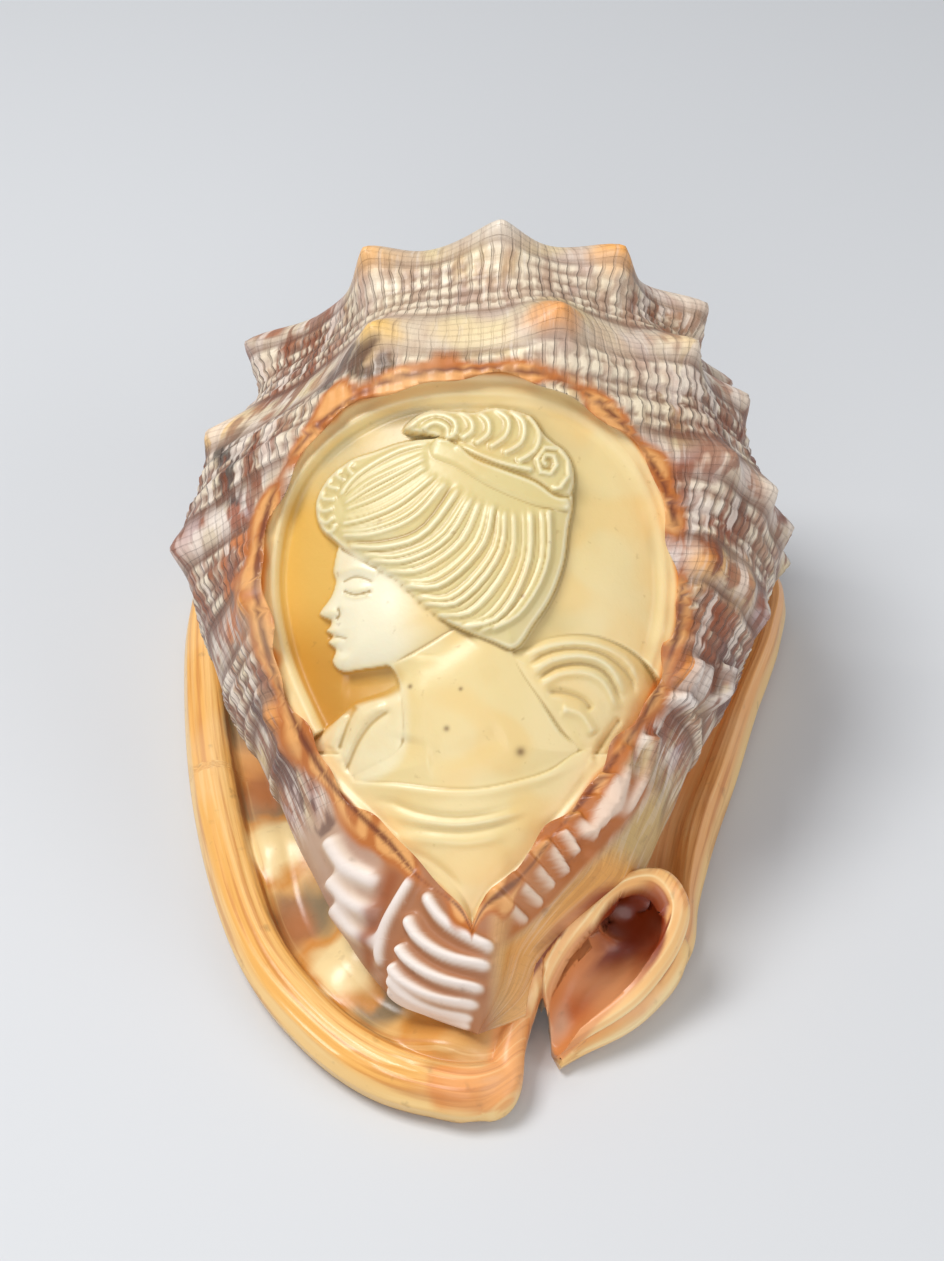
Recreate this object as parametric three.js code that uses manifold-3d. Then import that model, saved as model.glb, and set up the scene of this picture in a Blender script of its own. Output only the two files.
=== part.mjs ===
// A bullmouth helmet shell with a cameo carved in its back, lying on its mouth.
// Millimetres, +Z up. The front, with the siphon spout, points along -Y, and the spire along +Y.
// The outer lip is on the left, at -X, and the shield of the inner lip on the right.
import * as THREE from "three";
import { mergeVertices } from "three/addons/utils/BufferGeometryUtils.js";
import Module from "manifold-3d";

const wasm = await Module();
wasm.setup();

const TURN = 2 * Math.PI;
const DEGREE = Math.PI / 180;

// The coiling axis runs from the spire down to the front, over AXIS_X.
const AXIS_X = -2.5;
const AXIS_HEIGHT = 31; // above the table, where y is 0
const AXIS_SLOPE = 0.27;
const ROW_LEAN = 0.25; // the rows of knobs lean forward by this much for each mm of height
const FLOOR_GAP = 4; // the whorl stays this far above the table

// The last whorl and the spire: place along the axis, half width, height above the axis.
const WHORL = [
  [82, 0, 0],
  [79.5, 9, 9],
  [76.5, 18, 18],
  [74, 28, 28],
  [72, 38, 37],
  [68, 44, 42],
  [57, 46, 43],
  [46, 51, 48],
  [34, 54.5, 48],
  [20, 55, 47],
  [0, 50, 42],
  [-19, 40, 35],
  [-36, 32, 26],
  [-51, 24, 17],
  [-62, 15, 9],
  [-69, 0, 0],
];
const LEFT_PINCH = 0.12; // the shoulder is flatter on the left by this share
const PINCH_ANGLE = 140; // in degrees
const FRONT_DISH = 0.48; // the front right is hollowed towards the spout by this share
const SPIRE_STEP = 1.3; // depth of the coils of the spire
const SPIRE_COIL = 11; // from one coil of the spire to the next

// The rows of knobs, from the shoulder forwards: place along the axis over the top, height, half width,
// and the angles of the knobs in degrees, from the right over the top to the left.
const KNOB_ROWS = [
  { y: 68, height: 8.5, size: 8.5, angles: [-28, 2, 31, 58, 85, 116, 162, 200] },
  { y: 44, height: 8, size: 8, angles: [-6, 22, 44, 75, 110, 160] },
  { y: 20, height: 7, size: 7.5, angles: [-2, 12, 26, 40, 164] },
  { y: 0.5, height: 5, size: 6.5, angles: [14, 27, 40, 142] },
  { y: -17.5, height: 4, size: 5.5, angles: [20, 36, 152] },
];
const KNOB_ARC = 50; // mm along the whorl for each radian
const ROW_SLANT = 0.15; // on the right the rows lie back by this much for each degree from the top
const SLANT_FROM = 85;
const SLANT_TO = 40;

// The edge of the outer lip and of the shield, seen from above, clockwise from the lip's front end:
// x, y, height of the rolled edge, width of the rolled edge, height of the hollow behind it.
const RIM = [
  [-1, -80.4, 10, 8, 7],
  [-12, -79.6, 10, 8, 7],
  [-23, -75.4, 10, 9, 7],
  [-34, -66.4, 10, 9, 6],
  [-45, -52, 10, 9, 5],
  [-53, -33, 10, 9, 6],
  [-59.5, -8, 10, 9, 5],
  [-63.5, 19, 11, 9, 7],
  [-64.5, 42, 14, 8, 12],
  [-60, 57, 18, 7, 16],
  [-46, 67, 20, 6, 18],
  [-25, 72, 18, 6, 16],
  [5, 74, 15, 6, 13],
  [34, 72, 14, 6, 12],
  [54, 64, 14, 6, 12],
  [64, 50, 14, 6, 12],
  [62, 34, 14, 6, 12],
  [55.5, 15, 13, 6, 10],
  [49.5, -4, 12, 6, 9],
  [44, -20, 12, 6, 9],
  [40, -34, 11, 5, 6],
  [37.5, -46, 9, 4, 4],
  [28, -59, 7, 4, 3],
  [12.5, -69.5, 6, 4, 4],
];
const RIM_CENTRE = new THREE.Vector2(0, -3);

// The humps that cross the hollow behind the lip: x, y, reach along the lip.
const LIP_HUMPS = [
  [-45, -18, 6],
  [-36, -44, 6],
  [-27, -60, 5],
  [-12, -66, 5],
];
const LIP_HUMP_HEIGHT = 4;

// The aperture, seen from above, from the back to the front: x, y, half width.
const SLIT = [
  [-38.5, 57, 1],
  [-36, 50, 3.5],
  [-30.5, 30, 4],
  [-23.5, 2, 4.5],
  [-12.5, -24, 4.5],
  [-0.5, -46, 4],
  [7.5, -58, 2.6],
  [8.8, -70, 2.4],
  [8.5, -86, 4],
];
const SLIT_TOP = 21;
const SLIT_FRONT_TOP = 9;
const TEETH = 15;
const TEETH_BEHIND_FRONT = 9;
const TOOTH = 1.2;

// The notch between the end of the lip and the tip of the spout, cut right through: x, y.
const NOTCH = [
  [8.1, -56.7],
  [6.7, -60.6],
  [5.9, -66],
  [5.4, -71],
  [4.6, -75],
  [3, -86],
  [13, -86],
  [12.8, -70],
  [11.2, -65.5],
  [9.9, -62],
  [9.4, -58.5],
  [9.6, -56],
];
const NOTCH_TOP = 40;

// The hollow of the last whorl, between two shares of its length, and the pillar in the middle of it.
const WALL = 9;
const ROOF_WALL = 12;
const HOLLOW_BACK = 0.28;
const HOLLOW_FRONT = 0.88;
const HOLLOW_FLOOR = 14;
const PILLAR = { radius: 15, x: 3.5, back: 70, front: -80 };

// The edge of the siphon spout, from the notch up its left side and round to the tip: x, y, z.
const SPOUT = [
  [8.8, -60.5, 14.5],
  [14, -53, 21.5],
  [22, -46, 26.5],
  [30, -43.5, 26.5],
  [34, -47, 23],
  [32, -52.5, 18],
  [26, -58, 13],
  [18, -63.5, 9.5],
  [12.4, -66.5, 7.5],
  [11, -63, 8.5],
];
const SPOUT_CENTRE = new THREE.Vector3(20.5, -54.5, 16);
const SPOUT_EDGE = 4.6;

// The bottom of the bowl in the spout, from the tip up and on into the canal: x, y, z, half width.
const BOWL = [
  [9, -69, 5.5, 2.2],
  [12.3, -65, 7.2, 3],
  [14.5, -61, 9.5, 4.6],
  [17.3, -57, 12, 6],
  [22, -52.5, 15.5, 6.6],
  [25.3, -48, 17.5, 6],
  [23, -42.5, 16.5, 4.2],
  [17, -37, 16.5, 2.5],
];
const BOWL_DEPTH = 1.15; // for each mm of half width

// The end of the lip turns up and becomes the left edge of the spout: x, y, top, half width, bottom.
const LIP_END = [
  [-8, -77, 6.5, 2.5, 0.5],
  [-1, -77.5, 8, 3.2, 0.5],
  [2.2, -74.5, 9, 3.2, 0.5],
  [3.6, -67.5, 10.6, 2.6, 0.5],
  [5.2, -60.8, 13.2, 2.7, 1],
  [8.2, -56.2, 16.5, 2.7, 9],
  [13.2, -51.5, 21.5, 2.6, 13],
  [18.8, -46.8, 25.8, 2.5, 16],
  [24, -43.5, 27.5, 2.4, 18],
];
// The slope on the left of that edge.
const SLOPE = [
  [-6, -74, 6, 2.5, 0.5],
  [-2.5, -69, 8.8, 4, 0.5],
  [0, -63, 11.8, 4.6, 1],
  [3, -58, 15, 4.6, 9],
  [8, -53, 19.5, 4.4, 12],
  [13.5, -48.8, 23.3, 4, 14],
  [19, -45, 25.5, 3, 17],
];

// The cameo: a plane laid on the back of the whorl, and the outline of the carving around its centre,
// as the reach at even steps clockwise from the top.
const CAMEO_CENTRE = new THREE.Vector3(-3.5, -13.5, 56.5);
const CAMEO_UP = new THREE.Vector3(0, 0.747, 0.665);
const CAMEO_OUT = new THREE.Vector3(0, -0.665, 0.747);
const CAMEO_REACH = [49.3, 49.7, 46.4, 41.1, 37, 34.2, 33.8, 38, 48.8, 39.3, 36.4, 35.6, 37.9, 42.4, 47.4, 49.5];
const CAMEO_STEPS = 40;
const CAMEO_BOTTOM = -25;
const CAMEO_TOP = 35;
const EDGE_DEPTH = 2.8; // the border of the carving lies this far below the uncarved back
const FIELD_DEPTH = 6.5; // and the field inside the border this far
const BORDER = 0.9; // the field's share of the reach

// The bust, as raised areas of the cameo: depth below the uncarved back, and the outline, right and up.
const LOWER_DRESS = { depth: 4.6, rounded: 0, points: [
  [-26, -25], [-12, -27.5], [4, -27.5], [20, -21], [25, -27], [9, -40], [2, -46], [-6, -42], [-20, -32]] };
const LEFT_SLEEVE = { depth: 4.2, rounded: 10, points: [
  [-13, -9], [-20, -12], [-26, -19], [-28, -25], [-20, -26], [-14, -20]] };
const RIGHT_SLEEVE = { depth: 4.2, rounded: 10, points: [
  [8, -3], [16, 0], [27, -1], [33, -6], [30, -14], [22, -22], [17, -20]] };
const NECK = { depth: 3.6, rounded: 0, points: [
  [-14, -4], [-12.5, -12], [-17, -18], [-23, -26], [-10, -28], [4, -27.5], [19, -20.5], [14, -10], [8, -1], [-2, 6]] };
const FACE = { depth: 3.2, rounded: 0, points: [
  [-22.8, 19.5], [-25.1, 14], [-25.3, 12], [-24.9, 10.2], [-27.7, 4.9], [-27.4, 3.9], [-25.7, 3.1], [-26.5, 1.3],
  [-25.4, 0.3], [-26.1, -0.9], [-24.8, -2.2], [-25.3, -4.2], [-22.6, -6.3], [-15, -5.2], [-5, 0], [-8, 14]] };
const HAIR = { depth: 1.8, rounded: 24, points: [
  [-24.5, 30], [-16.5, 33.5], [-6, 35], [5, 32], [16, 27], [18.6, 20], [17, 10], [13, 2], [8, -3], [3, 0], [-6, 6],
  [-15, 10], [-21.5, 15.5], [-27, 21]] };
const BUN = { depth: 1.2, rounded: 16, points: [
  [-11, 37], [-8, 41.5], [2, 42.5], [11, 39], [17.5, 32], [18.5, 26], [13, 27], [4, 31], [-6, 34]] };
const BUST = [LOWER_DRESS, LEFT_SLEEVE, RIGHT_SLEEVE, NECK, FACE, HAIR, BUN];

// The partings of the hair: start, middle and end, right and up in the cameo.
const PARTINGS = [
  [[-24, 26], [-14, 31], [-4, 33]],
  [[-24, 20], [-13, 26], [-2, 30]],
  [[-18, 15], [-7, 21], [3, 28]],
  [[-9, 9], [0, 16], [6, 27]],
  [[2, 2], [8, 11], [10, 24]],
  [[9, 0], [14, 9], [14, 21]],
];
const PARTING_WIDTH = 0.7;

// Rows of ribs on the back, in the plane of the cameo: first and last centre, direction in degrees, and size.
const FRONT_RIBS = { count: 9, from: [7, -47], to: [35, -22], turn: -48, length: 8.5, width: 1.9, height: 1.8 };
const FRONT_FOLDS = { count: 6, from: [-4, -50.5], to: [-6, -66], turn: -22, length: 17, width: 1.6, height: 1.6 };

// Catmull-Rom through a list of rows, at t from 0 to 1.
function along(rows, t, closed = false) {
  const n = rows.length;
  const f = t * (closed ? n : n - 1);
  const i = Math.min(Math.floor(f), closed ? n - 1 : n - 2);
  const w = f - i;
  const at = (k) => rows[closed ? (k + n) % n : Math.min(Math.max(k, 0), n - 1)];
  return rows[0].map((_, c) => {
    const [p, q, r, s] = [at(i - 1)[c], at(i)[c], at(i + 1)[c], at(i + 2)[c]];
    const v0 = (r - p) / 2;
    const v1 = (s - q) / 2;
    return (2 * q - 2 * r + v0 + v1) * w ** 3 + (3 * r - 3 * q - 2 * v0 - v1) * w ** 2 + v0 * w + q;
  });
}

function smooth(from, to, x) {
  const share = THREE.MathUtils.clamp((x - from) / (to - from), 0, 1);
  return share * share * (3 - 2 * share);
}

// A solid from a closed geometry. One that comes out inside out is turned over.
function solid(geometry) {
  geometry.deleteAttribute("normal");
  geometry.deleteAttribute("uv");
  const welded = mergeVertices(geometry, 1e-4);
  const corners = new Uint32Array(welded.index.array);
  const build = () =>
    new wasm.Manifold(
      new wasm.Mesh({
        numProp: 3,
        vertProperties: new Float32Array(welded.attributes.position.array),
        triVerts: corners,
      }),
    );
  if (build().volume() > 0) return build();
  corners.reverse();
  return build();
}

// A closed surface from a sphere's grid: each of its points moves to point(around, down), both from 0 to 1.
function closedSurface(columns, rows, point) {
  const geometry = new THREE.SphereGeometry(1, columns, rows);
  const { position, uv } = geometry.attributes;
  for (let i = 0; i < position.count; i++) {
    const down = 1 - Math.round(uv.getY(i) * rows) / rows;
    const column = Math.round(uv.getX(i) * columns - (down === 0 || down === 1 ? 0.5 : 0));
    position.setXYZ(i, ...point((column % columns) / columns, down));
  }
  return solid(geometry);
}

// A prism over an outline: upright over the table, or standing on the plane of the cameo.
function prism(outline, bottom, top, placing = new THREE.Matrix4()) {
  const shape = new THREE.Shape(outline.map(([x, y]) => new THREE.Vector2(x, y)));
  const geometry = new THREE.ExtrudeGeometry(shape, { depth: top - bottom, bevelEnabled: false });
  geometry.translate(0, 0, bottom);
  geometry.applyMatrix4(placing);
  return solid(geometry);
}

// Half width and height of the whorl at a place along the axis.
function profile(y) {
  let [low, high] = [0, 1];
  for (let k = 0; k < 24; k++) {
    const middle = (low + high) / 2;
    if (along(WHORL, middle)[0] > y) low = middle;
    else high = middle;
  }
  return along(WHORL, low).slice(1);
}

// The share by which the whorl is wider or narrower than its profile.
function girth(angle, y) {
  const turned = (THREE.MathUtils.euclideanModulo(angle + TURN / 4, TURN) - TURN / 4) / DEGREE;
  const off = (turned - PINCH_ANGLE) / 40;
  const dish = smooth(-43, -58, y) * smooth(82, 55, turned) * smooth(-30, 5, turned);
  return 1 - LEFT_PINCH * smooth(28, 50, y) * Math.exp(-off * off) - FRONT_DISH * dish;
}

// How far the rows of knobs lie back at an angle; the shoulder itself lies straight.
function slant(angle, y) {
  const turned = (THREE.MathUtils.euclideanModulo(angle + TURN / 4, TURN) - TURN / 4) / DEGREE;
  return ROW_SLANT * (SLANT_FROM - THREE.MathUtils.clamp(turned, SLANT_TO, SLANT_FROM)) * smooth(66, 50, y);
}

function knobs(angle, place) {
  const y = place - slant(angle, place);
  let height = 0;
  for (const row of KNOB_ROWS) {
    for (const degrees of row.angles) {
      const turn = THREE.MathUtils.euclideanModulo(angle - degrees * DEGREE + TURN / 2, TURN) - TURN / 2;
      const far = Math.hypot(turn * KNOB_ARC, (y - row.y) * 0.9) / row.size;
      height += row.height * Math.exp(-1.3 * far ** 1.6);
    }
  }
  return height;
}

// A point of the whorl: angle 0 is to the right, a quarter turn is up.
function whorlPoint(angle, down) {
  const [y, half, rise] = along(WHORL, down);
  const centre = AXIS_HEIGHT + AXIS_SLOPE * y;
  const up = Math.sin(angle) > 0;
  const tall = up ? rise : Math.min(rise, centre - FLOOR_GAP);
  const grow = girth(angle, y) + (knobs(angle, y) * smooth(10, 34, half)) / Math.max(half, 1);
  const z = centre + tall * Math.sin(angle) * (up ? grow : 1);
  const x = AXIS_X + half * Math.cos(angle) * grow;
  const coil = SPIRE_STEP * Math.cos(TURN * (half / SPIRE_COIL + angle / TURN)) * smooth(0, 8, half);
  const onSpire = smooth(40, 30, half) * smooth(60, 72, y);
  return [x, y + coil * onSpire - ROW_LEAN * (z - centre), z];
}

// More columns on the back of the whorl than underneath.
const evenOut = (around) => around * TURN + 0.45 * Math.cos(around * TURN);

function humps(x, y) {
  return LIP_HUMPS.reduce((sum, [hx, hy, reach]) => {
    const far = Math.hypot(x - hx, y - hy) / reach;
    return sum + LIP_HUMP_HEIGHT * Math.exp(-far * far);
  }, 0);
}

// The lip and the shield: one plate with a rolled edge and a hollow behind it, flat underneath.
function rimPoint(around, down) {
  const [x, y, edge, width, hollow] = along(RIM, 1 - around, true);
  const out = new THREE.Vector2(x, y).sub(RIM_CENTRE);
  const reach = out.length();
  // inward from the edge, and height
  const section = [
    [reach, 24],
    [width + 22, hollow + 10],
    [width + 14, hollow + 4],
    [width + 7, hollow],
    [width + 1, hollow],
    [width - 0.6, edge - 0.4],
    [width * 0.5, edge],
    [1, edge * 0.75],
    [0, edge * 0.42],
    [1.2, edge * 0.12],
    [4, 0],
    [14, 0],
    [26, 2],
    [reach, 3],
  ];
  const step = Math.round(down * (section.length - 1));
  const [inward, height] = section[step];
  const share = Math.max(0, 1 - inward / reach);
  const px = RIM_CENTRE.x + out.x * share;
  const py = RIM_CENTRE.y + out.y * share;
  return [px, py, height + (step > 0 && step < 5 ? humps(px, py) : 0)];
}

// The outline of the aperture, with teeth along both sides, from the back as far as some tooth.
function slitOutline(teeth) {
  const left = [];
  const right = [];
  const steps = 2 * TEETH;
  for (let k = 0; k <= 2 * teeth; k++) {
    const [x, y, half] = along(SLIT, k / steps);
    const [x1, y1] = along(SLIT, Math.min(1, k / steps + 0.01));
    const [x0, y0] = along(SLIT, Math.max(0, k / steps - 0.01));
    const side = new THREE.Vector2(y1 - y0, x0 - x1).normalize();
    const tooth = k % 2 ? TOOTH * smooth(-58, -50, y) : 0;
    left.push([x + side.x * (half - tooth), y + side.y * (half - tooth)]);
    right.push([x - side.x * (half - tooth), y - side.y * (half - tooth)]);
  }
  return [...left, ...right.reverse()];
}

// The space inside the last whorl.
function hollowPoint(around, down) {
  const angle = around * TURN;
  const [y, half, rise] = along(WHORL, THREE.MathUtils.lerp(HOLLOW_BACK, HOLLOW_FRONT, down));
  const centre = AXIS_HEIGHT + AXIS_SLOPE * y;
  const open = down === 0 || down === 1 ? 0 : 1;
  const wide = Math.max(1, half - WALL) * open;
  const tall = (Math.sin(angle) > 0 ? Math.max(1, rise - ROOF_WALL) : centre - HOLLOW_FLOOR) * open;
  const z = centre + tall * Math.sin(angle);
  return [AXIS_X + wide * Math.cos(angle), y - ROW_LEAN * (z - centre), z];
}

function pillarPoint(around, down) {
  const y = THREE.MathUtils.lerp(PILLAR.back, PILLAR.front, down);
  const swell = Math.sin(Math.PI * Math.min(0.85, 0.15 + down));
  const size = down === 0 || down === 1 ? 0 : PILLAR.radius * swell;
  const centre = AXIS_HEIGHT + AXIS_SLOPE * y;
  const z = centre + size * Math.sin(around * TURN);
  return [PILLAR.x + size * Math.cos(around * TURN), y - ROW_LEAN * (z - centre), z];
}

// The body of the spout: its rolled edge all round, a groove below it, and the leaf that stands on the table.
function spoutPoint(around, down) {
  const edge = new THREE.Vector3(...along(SPOUT, 1 - around, true));
  const out = edge.clone().sub(SPOUT_CENTRE).setZ(0).normalize();
  const beside = (outward, z) => edge.clone().addScaledVector(out, outward * SPOUT_EDGE).setZ(z);
  const rows = [
    SPOUT_CENTRE,
    beside(-0.5, edge.z),
    beside(0.25, edge.z),
    beside(0.5, edge.z - SPOUT_EDGE / 2),
    beside(0.24, edge.z * 0.6),
    beside(0.24, edge.z * 0.5),
    beside(0.57, edge.z * 0.35),
    beside(0.57, 2),
    SPOUT_CENTRE.clone().setZ(2),
  ];
  return rows[Math.round(down * (rows.length - 1))].toArray();
}

// An egg with its own three axes.
function egg(centre, axes, columns, rows) {
  return closedSurface(columns, rows, (around, down) => {
    const ring = Math.sin(Math.PI * down);
    return centre
      .clone()
      .addScaledVector(axes[0], Math.cos(Math.PI * down))
      .addScaledVector(axes[1], ring * Math.cos(around * TURN))
      .addScaledVector(axes[2], ring * Math.sin(around * TURN))
      .toArray();
  });
}

// The level direction to the right of a line through rows of numbers.
function sideways(rows, t) {
  const [x1, y1] = along(rows, Math.min(1, t + 0.02));
  const [x0, y0] = along(rows, Math.max(0, t - 0.02));
  return new THREE.Vector2(y1 - y0, x0 - x1).normalize();
}

// A wall with a rounded top along rows of x, y, top, half width and bottom.
function wallPoint(rows, around, down) {
  const [x, y, top, half, bottom] = along(rows, down);
  const side = sideways(rows, down);
  const open = down === 0 || down === 1 ? 0 : 1;
  const [cos, sin] = [Math.cos(around * TURN), Math.sin(around * TURN)];
  const across = open * half * (sin > 0 ? cos : Math.sign(cos) * Math.abs(cos) ** 0.3);
  const middle = top - half;
  const tall = open * (sin > 0 ? half : middle - bottom);
  return [x + side.x * across, y + side.y * across, middle + tall * sin];
}

function bowlPoint(around, down) {
  const [x, y, z, half] = along(BOWL, down);
  const side = sideways(BOWL, down);
  const size = down === 0 || down === 1 ? 0 : half;
  const across = size * Math.cos(around * TURN);
  return [x + side.x * across, y + side.y * across, z + size * BOWL_DEPTH * Math.sin(around * TURN)];
}

const onCameo = (u, v, w) =>
  new THREE.Vector3(u, 0, 0).add(CAMEO_CENTRE).addScaledVector(CAMEO_UP, v).addScaledVector(CAMEO_OUT, w);

const CAMEO_PLACING = new THREE.Matrix4()
  .makeBasis(new THREE.Vector3(1, 0, 0), CAMEO_UP, CAMEO_OUT)
  .setPosition(CAMEO_CENTRE);

// The point of the uncarved back over a place in the plane of the cameo.
function backPoint(u, v) {
  let [inside, outside] = [-40, 40];
  for (let k = 0; k < 16; k++) {
    const w = (inside + outside) / 2;
    const { x, y, z } = onCameo(u, v, w);
    const place = (y + ROW_LEAN * (z - AXIS_HEIGHT)) / (1 + ROW_LEAN * AXIS_SLOPE);
    const [half, rise] = profile(place);
    const [across, tall] = [(x - AXIS_X) / half, (z - AXIS_HEIGHT - AXIS_SLOPE * place) / rise];
    if (Math.hypot(across, tall) > girth(Math.atan2(tall, across), place)) outside = w;
    else inside = w;
  }
  return onCameo(u, v, inside);
}

// A row of ribs lying on the back.
function ribs({ count, from, to, turn, length, width, height }) {
  const long = [Math.cos(turn * DEGREE), Math.sin(turn * DEGREE)];
  return Array.from({ length: count }, (_, k) => {
    const u = THREE.MathUtils.lerp(from[0], to[0], k / (count - 1));
    const v = THREE.MathUtils.lerp(from[1], to[1], k / (count - 1));
    const centre = backPoint(u, v);
    const ahead = backPoint(u + long[0], v + long[1]).sub(centre).normalize();
    const up = ahead.clone().cross(backPoint(u - long[1], v + long[0]).sub(centre)).normalize();
    const aside = up.clone().cross(ahead).setLength(width);
    return egg(centre, [ahead.setLength(length / 2), aside, up.setLength(height)], 6, 4);
  });
}

// The back of the whorl without its knobs, and smaller by some depth.
function innerBack(depth) {
  return closedSurface(34, 22, (around, down) => {
    const angle = evenOut(around);
    const [y, half, rise] = along(WHORL, down);
    const centre = AXIS_HEIGHT + AXIS_SLOPE * y;
    const end = down === 0 || down === 1 ? 0 : girth(angle, y);
    const z = centre + end * Math.max(1, rise - depth) * Math.sin(angle);
    const x = AXIS_X + end * Math.max(1, half - depth) * Math.cos(angle);
    return [x, y - ROW_LEAN * (z - centre), z];
  });
}

const standing = (outline) => prism(outline, CAMEO_BOTTOM, CAMEO_TOP, CAMEO_PLACING);

function cameoOutline(share) {
  return Array.from({ length: CAMEO_STEPS }, (_, k) => {
    const [reach] = along(CAMEO_REACH.map((r) => [r]), k / CAMEO_STEPS, true);
    const angle = (k / CAMEO_STEPS) * TURN;
    return [reach * share * Math.sin(angle), reach * share * Math.cos(angle)];
  });
}

function rounded({ points, rounded: steps }) {
  return steps ? Array.from({ length: steps }, (_, k) => along(points, k / steps, true)) : points;
}

// A groove in the hair.
function parting(points) {
  return closedSurface(4, 6, (around, down) => {
    const [u, v] = along(points, down);
    const size = down === 0 || down === 1 ? 0 : PARTING_WIDTH;
    const at = backPoint(u + size * Math.cos(around * TURN) * 0.7, v - size * Math.cos(around * TURN) * 0.7);
    return at.addScaledVector(CAMEO_OUT, size * Math.sin(around * TURN) - HAIR.depth).toArray();
  });
}

// What the carver took away: down to the border, deeper in the field, and less over the bust.
function carving() {
  let away = standing(cameoOutline(1)).subtract(innerBack(EDGE_DEPTH));
  away = away.add(standing(cameoOutline(BORDER)).subtract(innerBack(FIELD_DEPTH)));
  for (const area of BUST) {
    away = away.subtract(standing(rounded(area)).intersect(innerBack(area.depth)));
  }
  return wasm.Manifold.union([away, ...PARTINGS.map(parting)]);
}

const whorl = closedSurface(50, 34, (around, down) => whorlPoint(evenOut(around), down));
const plate = closedSurface(48, 13, rimPoint);
const spout = closedSurface(24, 5, spoutPoint);
const bowl = closedSurface(14, 12, bowlPoint);
const lipEnd = closedSurface(10, 14, (around, down) => wallPoint(LIP_END, around, down));
const slope = closedSurface(10, 10, (around, down) => wallPoint(SLOPE, around, down));
const notch = prism(NOTCH, -1, NOTCH_TOP);
const behind = prism(slitOutline(TEETH_BEHIND_FRONT), -1, SLIT_TOP);
const aperture = prism(slitOutline(TEETH), -1, SLIT_FRONT_TOP).add(behind);
const hollow = closedSurface(18, 10, hollowPoint).subtract(closedSurface(10, 6, pillarPoint));

const shell = wasm.Manifold.union([whorl, plate, spout, ...ribs(FRONT_RIBS), ...ribs(FRONT_FOLDS)])
  .subtract(carving())
  .subtract(hollow)
  .subtract(aperture)
  .subtract(notch)
  .subtract(bowl)
  .add(slope)
  .add(lipEnd);

function meshOf(name, made, material) {
  const { vertProperties, triVerts } = made.getMesh();
  const geometry = new THREE.BufferGeometry();
  geometry.setAttribute("position", new THREE.BufferAttribute(new Float32Array(vertProperties), 3));
  geometry.setIndex(new THREE.BufferAttribute(new Uint32Array(triVerts), 1));
  geometry.computeVertexNormals();
  const mesh = new THREE.Mesh(geometry, material);
  mesh.name = name;
  return mesh;
}

const nacre = new THREE.MeshStandardMaterial({ color: 0xe0b48c, roughness: 0.4, metalness: 0 });

const part = new THREE.Group();
part.add(meshOf("helmet_shell", shell, nacre));

export default part;
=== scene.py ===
import math

import bmesh
import bpy
import numpy as np
from mathutils import Matrix, Vector, noise


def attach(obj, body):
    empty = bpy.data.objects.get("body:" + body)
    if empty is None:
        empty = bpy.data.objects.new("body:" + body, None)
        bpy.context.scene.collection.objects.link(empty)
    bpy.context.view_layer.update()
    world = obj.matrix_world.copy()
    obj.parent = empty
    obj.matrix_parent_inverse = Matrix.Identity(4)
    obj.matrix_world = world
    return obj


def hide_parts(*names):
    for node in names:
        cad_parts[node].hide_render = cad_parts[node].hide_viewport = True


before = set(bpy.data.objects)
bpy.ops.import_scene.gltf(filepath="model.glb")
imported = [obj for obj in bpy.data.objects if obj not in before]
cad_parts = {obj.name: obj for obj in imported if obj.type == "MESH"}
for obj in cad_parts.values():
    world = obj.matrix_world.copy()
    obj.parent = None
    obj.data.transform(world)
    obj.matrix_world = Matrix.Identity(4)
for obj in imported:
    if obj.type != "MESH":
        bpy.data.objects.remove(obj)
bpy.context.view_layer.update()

# The whorl: the last turn of a bullmouth helmet shell, a thick limy cone that grew round a slanting axis.
# Five rows of knobs cross it, the largest on the shoulder, and beaded cords run between the rows.
AXIS_X, AXIS_HEIGHT, AXIS_SLOPE = -2.5, 31.0, 0.27
ROW_LEAN = 0.25
FLOOR_GAP = 4.0
# mean radius, which turns an angle into mm round the whorl
MEAN_RADIUS = 50
# place along the axis, half width, height above the axis
WHORL = [
    (82, 0, 0), (79.5, 9, 9), (76.5, 18, 18), (74, 28, 28), (72, 38, 37), (68, 44, 42), (57, 46, 43),
    (46, 51, 48), (34, 54.5, 48), (20, 55, 47), (0, 50, 42), (-19, 40, 35), (-36, 32, 26), (-51, 24, 17),
    (-62, 15, 9), (-69, 0, 0),
]
# place along the axis, height, half width, and angles of the knobs from the right over the top
KNOB_ROWS = [
    (68, 9.5, 9.0, (-28, 2, 31, 58, 85, 116, 162, 200)),
    (44, 9.0, 8.5, (-6, 22, 44, 75, 110, 160)),
    (20, 7.0, 7.5, (-2, 12, 26, 40, 164)),
    (0.5, 5.0, 6.5, (14, 27, 40, 142)),
    (-17.5, 3.5, 5.5, (20, 36, 152)),
]
# beaded cords between the rows: place, half width, height
CORDS = [
    (63.2, 1.0, 0.5), (60.4, 1.2, 0.7), (57.4, 1.3, 0.8), (54.4, 1.3, 0.8), (51.6, 1.0, 0.6),
    (37.8, 0.8, 0.4), (35.0, 1.6, 1.0), (32.0, 0.8, 0.5), (29.0, 1.6, 1.0), (26.0, 0.8, 0.4),
    (14.2, 0.8, 0.4), (11.4, 1.5, 0.9), (8.6, 0.8, 0.5), (6.5, 0.8, 0.4),
    (-4.8, 1.0, 0.7), (-7.4, 1.0, 0.7), (-10.0, 1.0, 0.7), (-12.6, 1.0, 0.6), (-22.5, 1.0, 0.6),
]
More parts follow.
